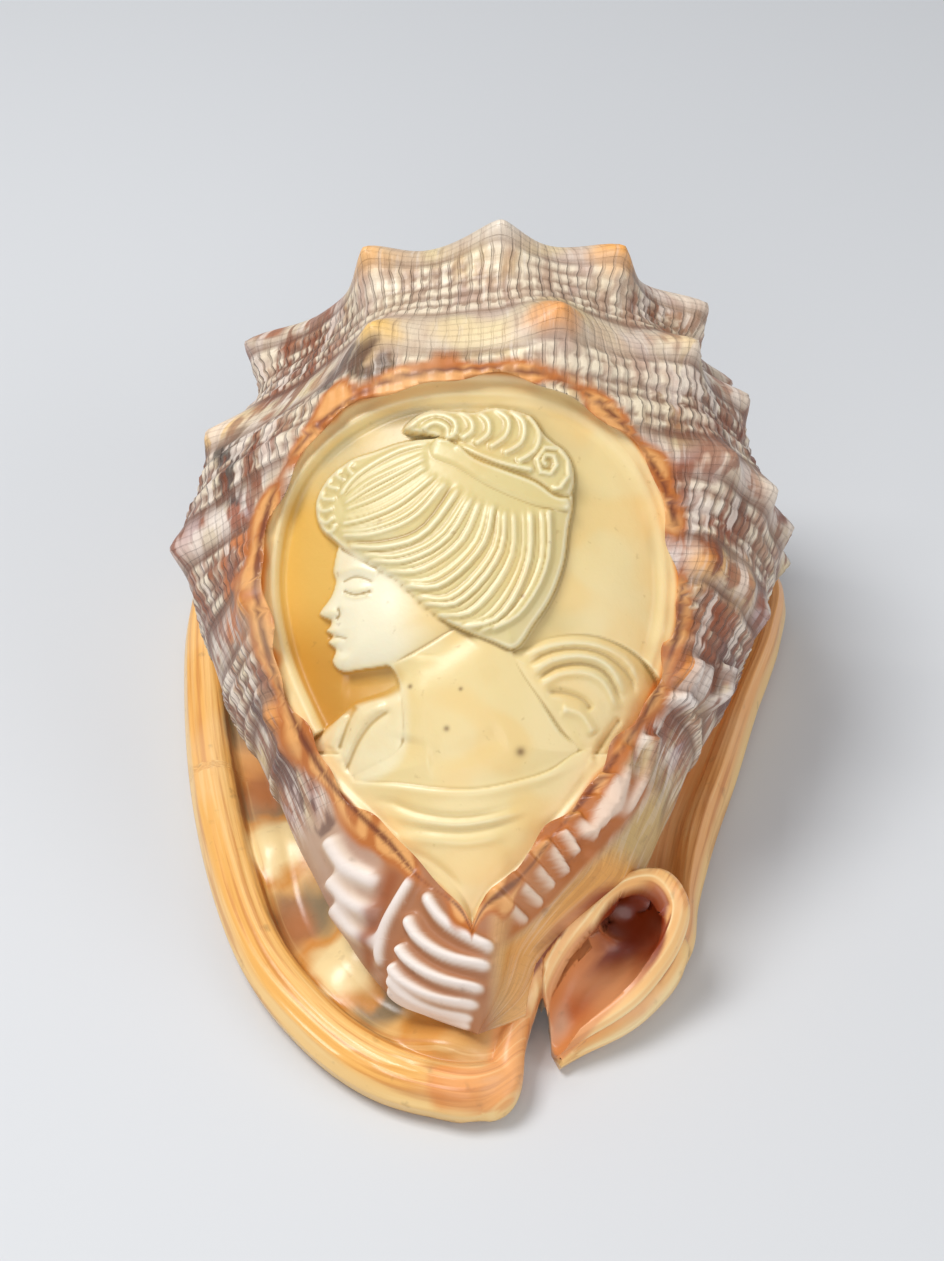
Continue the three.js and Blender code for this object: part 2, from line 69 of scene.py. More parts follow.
# raised ribs at the front, right and up in the plane of the cameo
FRONT_RIBS = [
    [(31.9, -17.4), (31.0, -22.8), (25.6, -34.2)],
    [(27.4, -18.8), (26.5, -25.1), (23.7, -33.7)],
    [(24.0, -24.2), (23.7, -28.7), (22.1, -35.2)],
    [(20.8, -28.1), (21.7, -32.3), (20.4, -37.6)],
    [(17.6, -31.7), (18.8, -34), (19.9, -36.6)],
    [(15.2, -34.9), (16.8, -37), (18.4, -39.9)],
    [(12.0, -36.7), (14.2, -39.5), (16.7, -43.7)],
    [(8.6, -38.9), (11, -42), (14.5, -46.2)],
    [(5.4, -42.1), (8.3, -45), (12.5, -49.3)],
    [(2.9, -45.2), (5.8, -48.3), (9.6, -52.5)],
]
# white folds between brown grooves at the front: line, half width, height
FRONT_FOLDS = [
    ([(-8.8, -45.2), (-5.2, -50.9), (-0.4, -54.4), (4.7, -56.8)], 1.4, 3.2),
    ([(-11.5, -49.4), (-8.8, -54.4), (-3.4, -58), (4.7, -59.9)], 1.4, 3.5),
    ([(-13, -54.7), (-10, -58.6), (-4.6, -61.9), (3.5, -64)], 1.3, 3.4),
    ([(-14.3, -58), (-11.2, -61.9), (-5.2, -65.2), (2.6, -66.6)], 1.1, 2.8),
    ([(-14.8, -60.4), (-11.2, -64.3), (-5.8, -67.4), (1.4, -68.8)], 0.9, 2.2),
    ([(-15.1, -62.5), (-11.1, -66.2), (-5.8, -69.1), (0.8, -70.3)], 0.8, 1.7),
    ([(-25.7, -35.6), (-22, -41.3), (-15.7, -44.8)], 1.9, 1.8),
    ([(-25.7, -42.8), (-20.8, -47.9), (-15.7, -50.4)], 1.8, 2.1),
    ([(-25.1, -47.9), (-20.8, -52.8), (-16, -55.5)], 1.6, 1.7),
    ([(-9.4, -41.2), (-13, -47.9), (-15.3, -53.2), (-16.4, -60.4)], 1.1, 2),
    ([(38.9, -3.8), (37.3, -9.7), (33.5, -13.4)], 1.1, 2.2),
    ([(41, -4.3), (39.4, -10.2), (35.7, -14)], 1.1, 2.2),
    ([(43.7, -4.8), (42.7, -9.7), (38.9, -14)], 1.1, 2.2),
]
# a brown stripe beside the fold that runs down the front
BROWN_STRIPE = [(-13.6, -40.7), (-16, -47.9), (-18.3, -55.6), (-19, -61.6)]
# the plane of the cameo, laid on the back of the whorl
CAMEO_CENTRE = np.array((-3.5, -13.5, 56.5))
CAMEO_UP = np.array((0, 0.747, 0.665))
CAMEO_OUT = np.array((0, -0.665, 0.747))
# the camera's place over that plane
EYE_UP, EYE_OUT = -21.7, 398.7


def smooth(start, end, x):
    share = np.clip((x - start) / (end - start), 0, 1)
    return share * share * (3 - 2 * share)


def bell(x, width):
    return np.exp(-((x / width) ** 2))


def along(rows, t, closed=False):
    """A smooth curve through rows of numbers, at each t from 0 to 1."""
    rows = np.asarray(rows, float)
    n = len(rows)
    f = np.asarray(t, float) * (n if closed else n - 1)
    i = np.minimum(f.astype(int), n - 1 if closed else n - 2)
    w = (f - i)[:, None]
    p, q, r, s = (rows[(i + k) % n if closed else np.clip(i + k, 0, n - 1)] for k in (-1, 0, 1, 2))
    v0, v1 = (r - p) / 2, (s - q) / 2
    return (2 * q - 2 * r + v0 + v1) * w**3 + (3 * r - 3 * q - 2 * v0 - v1) * w**2 + v0 * w + q


def near_line(points, u, v, closed=False, steps=14):
    """Distance from each place to a smooth line, and the share along it."""
    line = along(points, np.linspace(0, 1, steps, endpoint=not closed), closed)
    ends = np.roll(line, -1, 0) if closed else line[1:]
    best, share = np.full(u.shape, 1e9), np.zeros(u.shape)
    for k, ((x0, y0), (x1, y1)) in enumerate(zip(line, ends)):
        dx, dy = x1 - x0, y1 - y0
        s = np.clip(((u - x0) * dx + (v - y0) * dy) / (dx * dx + dy * dy), 0, 1)
        far = np.hypot(u - x0 - dx * s, v - y0 - dy * s)
        share = np.where(far < best, (k + s) / len(ends), share)
        best = np.minimum(best, far)
    return best, share


def ridge(points, u, v, width, taper=0.15):
    """1 along a smooth line, falling off to both sides and towards its ends."""
    corner = np.min(points, 0) - 3 * width
    far_corner = np.max(points, 0) + 3 * width
    close = (u > corner[0]) & (u < far_corner[0]) & (v > corner[1]) & (v < far_corner[1])
    height = np.zeros_like(u)
    far, share = near_line(points, u[close], v[close])
    height[close] = bell(far, width) * smooth(0, taper, share) * smooth(1, 1 - taper, share)
    return height


def inward(outline, u, v):
    """Distance in from a closed smooth outline, negative outside it."""
    lo, hi = np.min(outline, 0) - 2, np.max(outline, 0) + 2
    close = (u > lo[0]) & (u < hi[0]) & (v > lo[1]) & (v < hi[1])
    far = np.full(u.shape, -2.0)
    steps = 5 * len(outline)
    line = along(outline, np.arange(steps) / steps, closed=True)
    x, y = u[close], v[close]
    within = np.zeros(x.shape, bool)
    for (x0, y0), (x1, y1) in zip(line, np.roll(line, -1, 0)):
        if y0 != y1:
            within ^= ((y0 > y) != (y1 > y)) & (x < (x1 - x0) * (y - y0) / (y1 - y0) + x0)
    gap = near_line(outline, x, y, closed=True, steps=steps)[0]
    far[close] = np.where(within, gap, -gap)
    return far


def girth(angle, place):
    """The whorl is flatter at the upper left than its profile, and hollowed towards the spout."""
    dish = smooth(-43, -58, place) * smooth(82, 55, angle) * smooth(-30, 5, angle)
    return 1 - 0.12 * smooth(28, 50, place) * bell(angle - 140, 40) - 0.48 * dish


def row_place(angle, place):
    """Place along the axis, counted so that each row of knobs and cords keeps one number."""
    return place - 0.15 * (85 - np.clip(angle, 40, 85)) * smooth(66, 50, place)


def degrees_round(angle):
    """Degrees from -90 to 270, with the seam underneath."""
    return (np.degrees(angle) + 90) % 360 - 90


def knobs(angle, place):
    place = row_place(angle, place)
    height = np.zeros_like(place)
    for row, tall, size, tips in KNOB_ROWS:
        for tip in tips:
            turn = (angle - tip + 180) % 360 - 180
            far = np.hypot(np.radians(turn) * MEAN_RADIUS, (place - row) * 0.9) / size
            height += tall * np.exp(-1.3 * far**1.3)
    return height


def cords(angle, place):
    row = row_place(angle, place)
    arc = np.radians(angle) * MEAN_RADIUS
    bead = 0.8 + 0.2 * np.cos(math.tau * (arc / 2.5 + 0.35 * np.sin(arc * 0.19)))
    return 1.35 * sum(tall * bell(row - at, width) for at, width, tall in CORDS) * bead


def cameo_place(p):
    """Right, up and out from the plane of the cameo."""
    q = p - CAMEO_CENTRE
    return q[:, 0], q @ CAMEO_UP, q @ CAMEO_OUT


def seen_place(p):
    """Right and up in the plane of the cameo, where the camera sees each point."""
    u, v, w = cameo_place(p)
    nearer = EYE_OUT / (EYE_OUT - w)
    return u * nearer, EYE_UP + (v - EYE_UP) * nearer


def front_relief(p):
    """Height of the ribs and folds at the front."""
    u, v = seen_place(p)
    ribs = sum(2.4 * ridge(line, u, v, 1.35, 0.2) for line in FRONT_RIBS)
    return ribs + sum(height * ridge(line, u, v, width, 0.2) for line, width, height in FRONT_FOLDS)


def lumps(p, size, seed=0.0):
    """Soft unevenness from -1 to 1, a few lumps for each size in mm."""
    return np.array([noise.noise(Vector(q) / size + Vector((seed, seed, seed))) for q in p])


def net(columns, rows, shape):
    """A closed skin: a ball whose points go to shape(share round, share down), in mm."""
    bm = bmesh.new()
    bmesh.ops.create_uvsphere(bm, u_segments=columns, v_segments=rows, radius=1)
    ball = np.array([v.co[:] for v in bm.verts])
    down = np.round(np.arccos(np.clip(ball[:, 2], -1, 1)) / math.pi * rows) / rows
    around = (np.round(np.arctan2(ball[:, 1], ball[:, 0]) / math.tau * columns) % columns) / columns
    for v, co in zip(bm.verts, shape(around, down)):
        v.co = co
    if bm.calc_volume(signed=True) < 0:
        bmesh.ops.reverse_faces(bm, faces=bm.faces)
    return bm


def profile_steps(count=800):
    """Shares down the profile of the whorl, even steps but closer together at the ribbed front."""
    t = np.linspace(0, 1, count)
    place, half, _ = along(WHORL, t).T
    closer = 1 + 0.9 * smooth(-26, -40, place) - 0.5 * smooth(70, 76, place)
    length = np.concatenate([[0], np.cumsum(np.hypot(np.diff(place), np.diff(half)) * closer[1:])])
    return t, length / length[-1]


WHORL_STEPS = profile_steps()


def plain_skin(angle, half, rise, place):
    """Points of the whorl without knobs, cords and ribs."""
    centre = AXIS_HEIGHT + AXIS_SLOPE * place
    grow = girth(degrees_round(angle), place)
    up = np.sin(angle) > 0
    tall = np.where(up, rise * grow, np.minimum(rise, centre - FLOOR_GAP)) * np.sin(angle)
    return np.stack([AXIS_X + half * np.cos(angle) * grow, place - ROW_LEAN * tall, centre + tall], 1)


def whorl_skin(around, down):
    angle = around * math.tau + 0.45 * np.cos(around * math.tau)
    turned = degrees_round(angle)
    place, half, rise = along(WHORL, np.interp(down, WHORL_STEPS[1], WHORL_STEPS[0])).T
    centre = AXIS_HEIGHT + AXIS_SLOPE * place
    up = np.sin(angle) > 0
    tall = np.where(up, rise, np.minimum(rise, centre - FLOOR_GAP))
    body = plain_skin(angle, half, rise, place)
    raised = knobs(turned, place) + cords(turned, place) + 0.5 * lumps(body, 9)
    raised = raised * smooth(6, 30, half) + front_relief(body) * up * smooth(3, 12, half)
    grow = girth(turned, place) + raised / np.maximum(half, 1)
    z = centre + tall * np.sin(angle) * np.where(up, grow, 1)
    x = AXIS_X + half * np.cos(angle) * grow
    # the older turns of the spire
    coil = 1.3 * np.cos(math.tau * (half / 11 + around)) * smooth(40, 30, half)
    coil = coil * smooth(60, 72, place) * smooth(0, 8, half)
    return np.stack([x, place + coil - ROW_LEAN * (z - centre), z], 1)


def thing(name, bm):
    mesh = bpy.data.meshes.new(name)
    bm.to_mesh(mesh)
    bm.free()
    made = bpy.data.objects.new(name, mesh)
    bpy.context.scene.collection.objects.link(made)
    return made


whorl = thing("whorl", net(330, 270, whorl_skin))

# The lip and the shield: the thick edge of the mouth, one rolled plate of orange enamel all round.
# It grew last and is flat underneath, where it lies on the table.
# clockwise from the lip's front end: x, y, height and width of the rolled edge, height behind it
RIM = [
    (-1, -80.4, 10, 8, 7), (-12, -79.6, 10, 8, 7), (-23, -75.4, 10, 9, 7), (-34, -66.4, 10, 9, 6),
    (-45, -52, 10, 9, 5), (-53, -33, 10, 9, 6), (-59.5, -8, 10, 9, 5), (-63.5, 19, 11, 9, 7),
    (-64.5, 42, 14, 8, 12), (-60, 57, 18, 7, 16), (-46, 67, 20, 6, 18), (-25, 72, 18, 6, 16),
    (5, 74, 15, 6, 13), (34, 72, 14, 6, 12), (54, 64, 14, 6, 12), (64, 50, 14, 6, 12),
    (62, 34, 14, 6, 12), (55.5, 15, 13, 6, 10), (49.5, -4, 12, 6, 9), (44, -20, 12, 6, 9),
    (40, -34, 11, 5, 6), (37.5, -46, 9, 4, 4), (28, -59, 7, 4, 3), (12.5, -69.5, 6, 4, 4),
]
RIM_CENTRE = np.array((0.0, -3.0))
# x, y and reach of the humps that cross the hollow behind the lip
LIP_HUMPS = [(-42, -22, 7.5), (-27, -51, 7.5), (-8, -69, 8)]
# x, y and reach of the darker grey-brown patches in the hollows between them
LIP_HOLLOWS = [(-44, -8, 10), (-35.5, -38, 8), (-20.5, -59, 6), (-50, 12, 9)]


def lip_humps(x, y):
    return sum(4 * np.exp(-((x - hx) ** 2 + (y - hy) ** 2) / reach**2) for hx, hy, reach in LIP_HUMPS)


def plate_skin(around, down):
    x, y, edge, width, hollow = along(RIM, around, closed=True).T
    out = np.stack([x, y], 1) - RIM_CENTRE
    reach = np.linalg.norm(out, axis=1)
    one = np.ones_like(x)
    # from the middle of the top out to the edge and back underneath: inward from the edge, and height
    section = np.stack([
        (reach, 24 * one), (width + 22, hollow + 10), (width + 14, hollow + 4), (width + 7, hollow),
        (width + 1.4, hollow), (width, edge - 1.2), (width - 1.2, edge - 0.2), (width * 0.5, edge),
        (1.2 * one, edge * 0.8), (0 * one, edge * 0.45), (0.8 * one, edge * 0.14), (4 * one, 0 * one),
        (14 * one, 0 * one), (26 * one, 2 * one), (reach, 3 * one),
    ])
    at = down * (len(section) - 1)
    step = np.minimum(at.astype(int), len(section) - 2)
    pick = np.arange(len(x))
    w = at - step
    inner, tall = section[step, :, pick].T * (1 - w) + section[step + 1, :, pick].T * w
    spot = RIM_CENTRE + out * np.clip(1 - inner / reach, 0, 1)[:, None]
    on_band = smooth(5.2, 6, at) * smooth(9.5, 8.5, at) * (around < 0.42)
    lines = 0.22 * np.sin(inner * 3.1 + 1.5 * np.sin(around * 40)) * on_band
    tall = tall + lip_humps(*spot.T) * smooth(4.6, 3.8, at) + lines
    return np.column_stack([spot, tall])


base = thing("base", net(300, 98, plate_skin))

# The siphon spout: the front of the mouth, drawn out and turned up into a bowl by the growing shell.
# It is open on one side to the notch.
# its edge, from the notch up its left side and round to the tip
SPOUT = [
    (8.8, -60.5, 14.5), (14, -53, 21.5), (22, -46, 26.5), (30, -43.5, 26.5), (34, -47, 23),
    (32, -52.5, 18), (26, -58, 13), (18, -63.5, 9.5), (12.4, -66.5, 7.5), (11, -63, 8.5),
]
SPOUT_CENTRE = np.array((20.5, -54.5, 16.0))
# its highest point, and how fast its edge comes down towards the tip
SPOUT_TOP, SPOUT_FALL = (22, -46, 26.5), 0.84
# the end of the lip turns up and becomes the left edge of the spout: x, y, top, half width, bottom
LIP_END = [
    (-8, -77, 6.5, 2.5, 0.5), (-1, -77.5, 8, 3.2, 0.5), (2.2, -74.5, 9, 3.2, 0.5),
    (3.6, -67.5, 10.6, 2.6, 0.5), (5.2, -60.8, 13.2, 2.7, 1), (8.2, -56.2, 16.5, 2.7, 9),
    (13.2, -51.5, 21.5, 2.6, 13), (18.8, -46.8, 25.8, 2.5, 16), (24, -43.5, 27.5, 2.4, 18),
]
# the slope on the left of that edge
SLOPE = [
    (-6, -74, 6, 2.5, 0.5), (-2.5, -69, 8.8, 4, 0.5), (0, -63, 11.8, 4.6, 1), (3, -58, 15, 4.6, 9),
    (8, -53, 19.5, 4.4, 12), (13.5, -48.8, 23.3, 4, 14), (19, -45, 25.5, 3, 17),
]
# the notch between the end of the lip and the tip of the spout
NOTCH = [
    (8.1, -56.7), (6.7, -60.6), (5.9, -66), (5.4, -71), (4.6, -75), (3, -86), (13, -86), (12.8, -70),
    (11.2, -65.5), (9.9, -62), (9.4, -58.5), (9.6, -56),
]
# the bottom of the bowl, from the tip up and on into the dark canal: x, y, z, half width
BOWL = [
    (9, -69, 5.5, 2.2), (12.3, -65, 7.2, 3), (14.5, -61, 9.5, 4.6), (17.3, -57, 12, 6),
    (22, -52.5, 15.5, 6.6), (25.3, -48, 17.5, 6), (23, -42.5, 16.5, 4.2), (17, -37, 16.5, 2.5),
]


def spout_skin(around, down):
    edge = along(SPOUT, around, closed=True)
    out = (edge - SPOUT_CENTRE) * (1, 1, 0)
    out /= np.linalg.norm(out, axis=1)[:, None]
    middle = np.tile(SPOUT_CENTRE, (len(edge), 1))
    flat = (1, 1, 0)
    tall = edge * (0, 0, 1)
    # the rolled edge, a groove below it and the leaf that stands on the table
    section = np.stack([
        middle, edge - out * 2.2 - (0, 0, 1.2), edge - out * 1.2, edge + out * 0.8,
        edge + out * 2 - (0, 0, 1), edge + out * 2.6 - (0, 0, 2.6),
        edge * flat + out * 0.5 + tall * 0.64, edge * flat + out * 0.7 + tall * 0.54,
        edge * flat + out * 3.2 + tall * 0.42, edge * flat + out * 3 + (0, 0, 2), middle * flat + (0, 0, 2),
    ])
    at = down * (len(section) - 1)
    step = np.minimum(at.astype(int), len(section) - 2)
    pick = np.arange(len(edge))
    w = (at - step)[:, None]
    return section[step, pick] * (1 - w) + section[step + 1, pick] * w


def sideways(rows, t, reach):
    """Level directions to the right of a line through rows of numbers."""
    ahead = along(rows, np.minimum(t + reach, 1)) - along(rows, np.maximum(t - reach, 0))
    side = np.stack([ahead[:, 1], -ahead[:, 0]], 1)
    return side / np.linalg.norm(side, axis=1)[:, None]


def wall_skin(rows, around, down):
    """A wall with a rounded top along rows of x, y, top, half width and bottom."""
    x, y, top, half, bottom = along(rows, down).T
    side = sideways(rows, down, 0.02)
    closing = np.sqrt(np.clip(1 - (2 * down - 1) ** 10, 0, 1))
    across, rise = np.cos(around * math.tau), np.sin(around * math.tau)
    half = half * closing
    across = np.where(rise > 0, across, np.sign(across) * np.abs(across) ** 0.3) * half
    middle = top - half
    z = middle + np.where(rise > 0, half, (middle - bottom) * closing) * rise
    return np.column_stack([x + side[:, 0] * across, y + side[:, 1] * across, z])


def bowl_skin(around, down):
    x, y, z, half = along(BOWL, down).T
    side = sideways(BOWL, down, 0.02)
    half = half * np.sqrt(np.clip(1 - (2 * down - 1) ** 12, 0, 1))
    across, rise = half * np.cos(around * math.tau), half * 1.15 * np.sin(around * math.tau)
    return np.column_stack([x + side[:, 0] * across, y + side[:, 1] * across, z + rise])


def prism(outline, bottom, top):
    bm = bmesh.new()
    face = bm.faces.new([bm.verts.new((x, y, bottom)) for x, y in outline])
    raised = bmesh.ops.extrude_face_region(bm, geom=[face])["geom"]
    raised = [g for g in raised if isinstance(g, bmesh.types.BMVert)]
    bmesh.ops.translate(bm, verts=raised, vec=(0, 0, top - bottom))
    bmesh.ops.recalc_face_normals(bm, faces=bm.faces)
    return bm


spout = thing("spout", net(120, 40, spout_skin))
lip_end = thing("lip_end", net(28, 70, lambda around, down: wall_skin(LIP_END, around, down)))
slope = thing("slope", net(28, 50, lambda around, down: wall_skin(SLOPE, around, down)))
notch = thing("notch", prism(NOTCH, -1, 40))
bowl = thing("bowl", net(48, 48, bowl_skin))
# the thick shell behind the bowl
BACKING, BACKING_SIZE = np.array((26, -39, 8.5)), np.array((8, 5, 6))


def backing_skin(around, down):
    turn, fall = around * math.tau, down * math.pi
    ball = np.stack([np.sin(fall) * np.cos(turn), np.sin(fall) * np.sin(turn), np.cos(fall)], 1)
    return BACKING + ball * BACKING_SIZE


backing = thing("backing", net(32, 20, backing_skin))

# The mouth: a long slit between lip and shield, where the animal lived, and the dark space behind it.
# The enamel on both its sides grew out into teeth.
# from the back to the front: x, y, half width
SLIT = [
    (-38.5, 57, 1), (-36, 50, 3.5), (-30.5, 30, 4), (-23.5, 2, 4.5), (-12.5, -24, 4.5), (-0.5, -46, 4),
    (7.5, -58, 2.6), (8.8, -70, 2.4), (8.5, -86, 4),
]
TEETH = 18
# the dark space: share of the slit's line where it starts, share that it takes, height and radius
GALLERY_START, GALLERY_SHARE, GALLERY_HEIGHT, GALLERY_RADIUS = 0.06, 0.48, 26, 10


def slit_outline():
    t = np.linspace(0, 1, TEETH * 6 + 1)
    x, y, half = along(SLIT, t).T
    side = sideways(SLIT, t, 0.01)
    half = half - 0.6 * (1 - np.cos(t * TEETH * math.tau)) * smooth(-58, -50, y)
    spine = np.stack([x, y], 1)
    return np.concatenate([spine + side * half[:, None], (spine - side * half[:, None])[::-1]])


def gallery_skin(around, down):
    x, y, _ = along(SLIT, GALLERY_START + GALLERY_SHARE * down).T
    size = GALLERY_RADIUS * np.sqrt(np.clip(1 - (2 * down - 1) ** 4, 0, 1))
    turn = around * math.tau
    return np.column_stack([x + size * np.cos(turn), y, GALLERY_HEIGHT + size * np.sin(turn)])


slit = thing("slit", prism(slit_outline(), -1, 22))
for point in slit.data.vertices:
    point.co.z -= 13 * float(smooth(-40, -52, point.co.y)) * (point.co.z > 0)
gallery = thing("gallery", net(32, 40, gallery_skin))

# The cut of the carver: the dark outer layers of the shell are sawn and filed off inside a pointed oval.
# The paler layer below is left standing for the cameo.
# its reach from the middle at even steps, clockwise from the top
CAMEO_REACH = [49.3, 49.7, 46.4, 41.1, 37, 34.2, 33.8, 38, 48.8, 39.3, 36.4, 35.6, 37.9, 42.4, 47.4, 49.5]
CUT_FLOOR = 8.5
CUT_TOP = 34


def cameo_reach(turn):
    """Reach of the carving at a turn from the top, clockwise, from 0 to 1."""
    from_tip = turn % 1 - 0.5
    pointed = 6 * np.exp(-np.abs(from_tip) / 0.006) - 2.5 * bell(from_tip, 0.03)
    return along(np.array(CAMEO_REACH)[:, None], turn % 1, closed=True)[:, 0] + pointed


def on_cameo(u, v, w):
    return CAMEO_CENTRE + np.outer(u, (1, 0, 0)) + np.outer(v, CAMEO_UP) + np.outer(w, CAMEO_OUT)


def back_height(u, v):
    """Height of the uncarved back of the whorl over the plane of the cameo."""
    t = np.linspace(0, 1, 1200)
    place_at, half_at, rise_at = along(WHORL, t).T[:, ::-1]
    low, high = np.full(u.shape, -45.0), np.full(u.shape, 40.0)
    for _ in range(18):
        w = (low + high) / 2
        x, y, z = on_cameo(u, v, w).T
        place = (y + ROW_LEAN * (z - AXIS_HEIGHT)) / (1 + ROW_LEAN * AXIS_SLOPE)
        across = (x - AXIS_X) / np.maximum(np.interp(place, place_at, half_at), 0.1)
        tall = (z - AXIS_HEIGHT - AXIS_SLOPE * place) / np.maximum(np.interp(place, place_at, rise_at), 0.1)
        outside = np.hypot(across, tall) > girth(degrees_round(np.arctan2(tall, across)), place)
        low, high = np.where(outside, low, w), np.where(outside, w, high)
    return low


def cut_skin(around, down):
    turn = 0.25 - around
    ragged = 0.8 * np.sin(around * 61) + 0.5 * np.sin(around * 137 + 1)
    reach = cameo_reach(turn) + ragged
    top = down < 0.35
    share = np.where(top, down / 0.35, (1 - down) / 0.65)
    u, v = reach * share * np.cos(around * math.tau), reach * share * np.sin(around * math.tau)
    return on_cameo(u, v, np.where(top, CUT_TOP, back_height(u, v) - CUT_FLOOR))


cut = thing("cut", net(240, 20, cut_skin))


def worked(piece, *steps):
    """Joins other solids to the piece or cuts them out of it."""
    for how, tool in steps:
        change = piece.modifiers.new(how, "BOOLEAN")
        change.operation, change.object, change.solver = how, tool, "MANIFOLD"
    done = bpy.data.meshes.new_from_object(piece.evaluated_get(bpy.context.evaluated_depsgraph_get()))
    piece.modifiers.clear()
    piece.data = done


def soften(piece, sharper, rings, times, where):
    """Rounds the inner corners where two forms grow into each other."""
    bm = bmesh.new()
    bm.from_mesh(piece.data)
    inner = [e for e in bm.edges if e.is_manifold and e.calc_face_angle_signed() < -sharper]
    near = {v for e in inner for v in e.verts if where(v.co)}
    for _ in range(rings):
        near |= {e.other_vert(v) for v in near for e in v.link_edges}
    near = list(near)
    for _ in range(times):
        bmesh.ops.smooth_vert(bm, verts=near, factor=0.5, use_axis_x=True, use_axis_y=True, use_axis_z=True)
    bm.to_mesh(piece.data)
    bm.free()


OPENINGS = [("DIFFERENCE", tool) for tool in (gallery, slit, notch, bowl)]
worked(whorl, ("DIFFERENCE", cut), *OPENINGS)
worked(base, ("UNION", spout), *OPENINGS, ("UNION", backing), ("UNION", slope), ("UNION", lip_end))
for tool in (cut, gallery, slit, notch, bowl, spout, backing, slope, lip_end):
    bpy.data.objects.remove(tool)
soften(base, math.radians(38), 3, 8, lambda co: co.z > 1)

# The colours of the shell: limy whites over lilac and brown on the worn back, orange enamel on lip and spout.
# Each point gets a colour from its place on the shell, with painted shade in grooves, in the spout's canal and
# inside the mouth; fine growth lines come from the material.


def tint(code):
    """A colour from its code, a little deeper to make up for the pale shine over it."""
    seen = np.array([((int(code[k : k + 2], 16) / 255 + 0.055) / 1.055) ** 2.4 for k in (1, 3, 5)])
    return np.clip(seen.mean() + (seen - seen.mean()) * 1.12, 0.004, 1) ** 1.1


def coats(paint, *layers):
    """The colours with others laid over them in turn, each by its own amount at each point."""
    for code, amount in layers:
        paint = paint + (tint(code) - paint) * np.clip(amount, 0, 1)[:, None]
    return paint


def read_points(piece, what="co"):
    """The places of a piece's points, or their normals."""
    values = np.empty(len(piece.data.vertices) * 3)
    piece.data.vertices.foreach_get(what, values)
    return values.reshape(-1, 3)


def hollows(piece, times):
    """How deep each point lies in a groove (more than 0) or how far it stands on a ridge (less than 0)."""
    co = read_points(piece)
    ends = np.empty(len(piece.data.edges) * 2, int)
    piece.data.edges.foreach_get("vertices", ends)
    a, b = ends.reshape(-1, 2).T
    own, other = np.concatenate([a, b]), np.concatenate([b, a])
    count = np.bincount(own, minlength=len(co))[:, None]
    soft = co
    for _ in range(times):
        soft = np.stack([np.bincount(own, soft[other, k], len(co)) for k in range(3)], 1) / count
    return ((soft - co) * read_points(piece, "normal")).sum(1)


def keep(piece, name, values):
    """Stores a number or a colour for each point of a piece."""
    colour = np.ndim(values) == 2
    layer = piece.data.attributes.new(name, "FLOAT_COLOR" if colour else "FLOAT", "POINT")
    if colour:
        values = np.column_stack([values, np.ones(len(values))])
    layer.data.foreach_set("color" if colour else "value", np.ravel(values).astype(np.float32))


def patches(x, y, seed=0.0):
    """Soft patches from 0 to 1 over two measures."""
    return np.array([0.5 + 0.7 * noise.noise(Vector((a, b, seed))) for a, b in zip(x, y)])


def whorl_place(p):
    """Angle, place along the axis, height over the plain whorl, and the point of the plain whorl below."""
    x, y, z = p.T
    place = (y + ROW_LEAN * (z - AXIS_HEIGHT)) / (1 + ROW_LEAN * AXIS_SLOPE)
    t = np.linspace(0, 1, 1200)
    at, half_at, rise_at = along(WHORL, t).T[:, ::-1]
    half, rise = np.interp(place, at, half_at), np.interp(place, at, rise_at)
    across = (x - AXIS_X) / np.maximum(half, 1)
    tall = (z - AXIS_HEIGHT - AXIS_SLOPE * place) / np.maximum(rise, 1)
    turned = np.arctan2(tall, across)
    angle = degrees_round(turned)
    off = (np.hypot(across, tall) - girth(angle, place)) * np.maximum(half, 1)
    return angle, place, off, plain_skin(turned, half, rise, place)


def rim_place(p):
    """Distance in from the edge of lip and shield, and the share round it."""
    t = np.linspace(0, 1, 720, endpoint=False)
    edge = along(RIM, t, closed=True)[:, :2] - RIM_CENTRE
    turn = np.arctan2(edge[:, 1], edge[:, 0])
    order = np.argsort(turn)
    out = p[:, :2] - RIM_CENTRE
    own = np.arctan2(out[:, 1], out[:, 0])
    reach = np.interp(own, turn[order], np.hypot(*edge[order].T), period=math.tau)
    return reach - np.hypot(*out.T), own


# knobs with worn tips of their own colour: row, angle, colour
TIPS = [
    (68, 58, "#f0b268"), (68, 85, "#e8dccb"), (68, 116, "#eec08a"), (68, 31, "#e6d6c6"),
    (44, 75, "#e3a262"), (44, 110, "#e9c27c"), (44, 44, "#f3dcb4"), (44, 22, "#efe0cf"),
    (44, 160, "#eebf6c"), (20, 40, "#e8d6c0"), (20, 26, "#f0e2d2"), (20, 164, "#d8c2b8"),
    (0.5, 40, "#eeb46c"), (0.5, 27, "#e6c49a"), (0.5, 142, "#e8a45c"), (-17.5, 36, "#e0964e"),
    (-17.5, 152, "#e3a05c"),
]
# dark stains beside the knobs: row place, angle, reach, colour
STAINS = [
    (40, 122, 6, "#57463e"), (39, 152, 5, "#6a5a50"), (24, 38, 5, "#7a4630"), (12, 34, 4.5, "#6b3c26"),
    (-6, 30, 4.5, "#8c4b28"), (-10, 42, 4, "#7d3f20"), (6, 150, 6, "#7a5148"), (-2, 140, 4, "#b5651f"),
    (-12, 148, 5, "#7b4a42"), (30, 140, 4, "#8a5a44"), (-26, 30, 5, "#8c4b28"), (-28, 148, 5, "#94583a"),
    (16, 50, 3.5, "#a45a2c"), (4, 48, 4, "#b4622c"), (38, 96, 3.5, "#c07a40"),
]
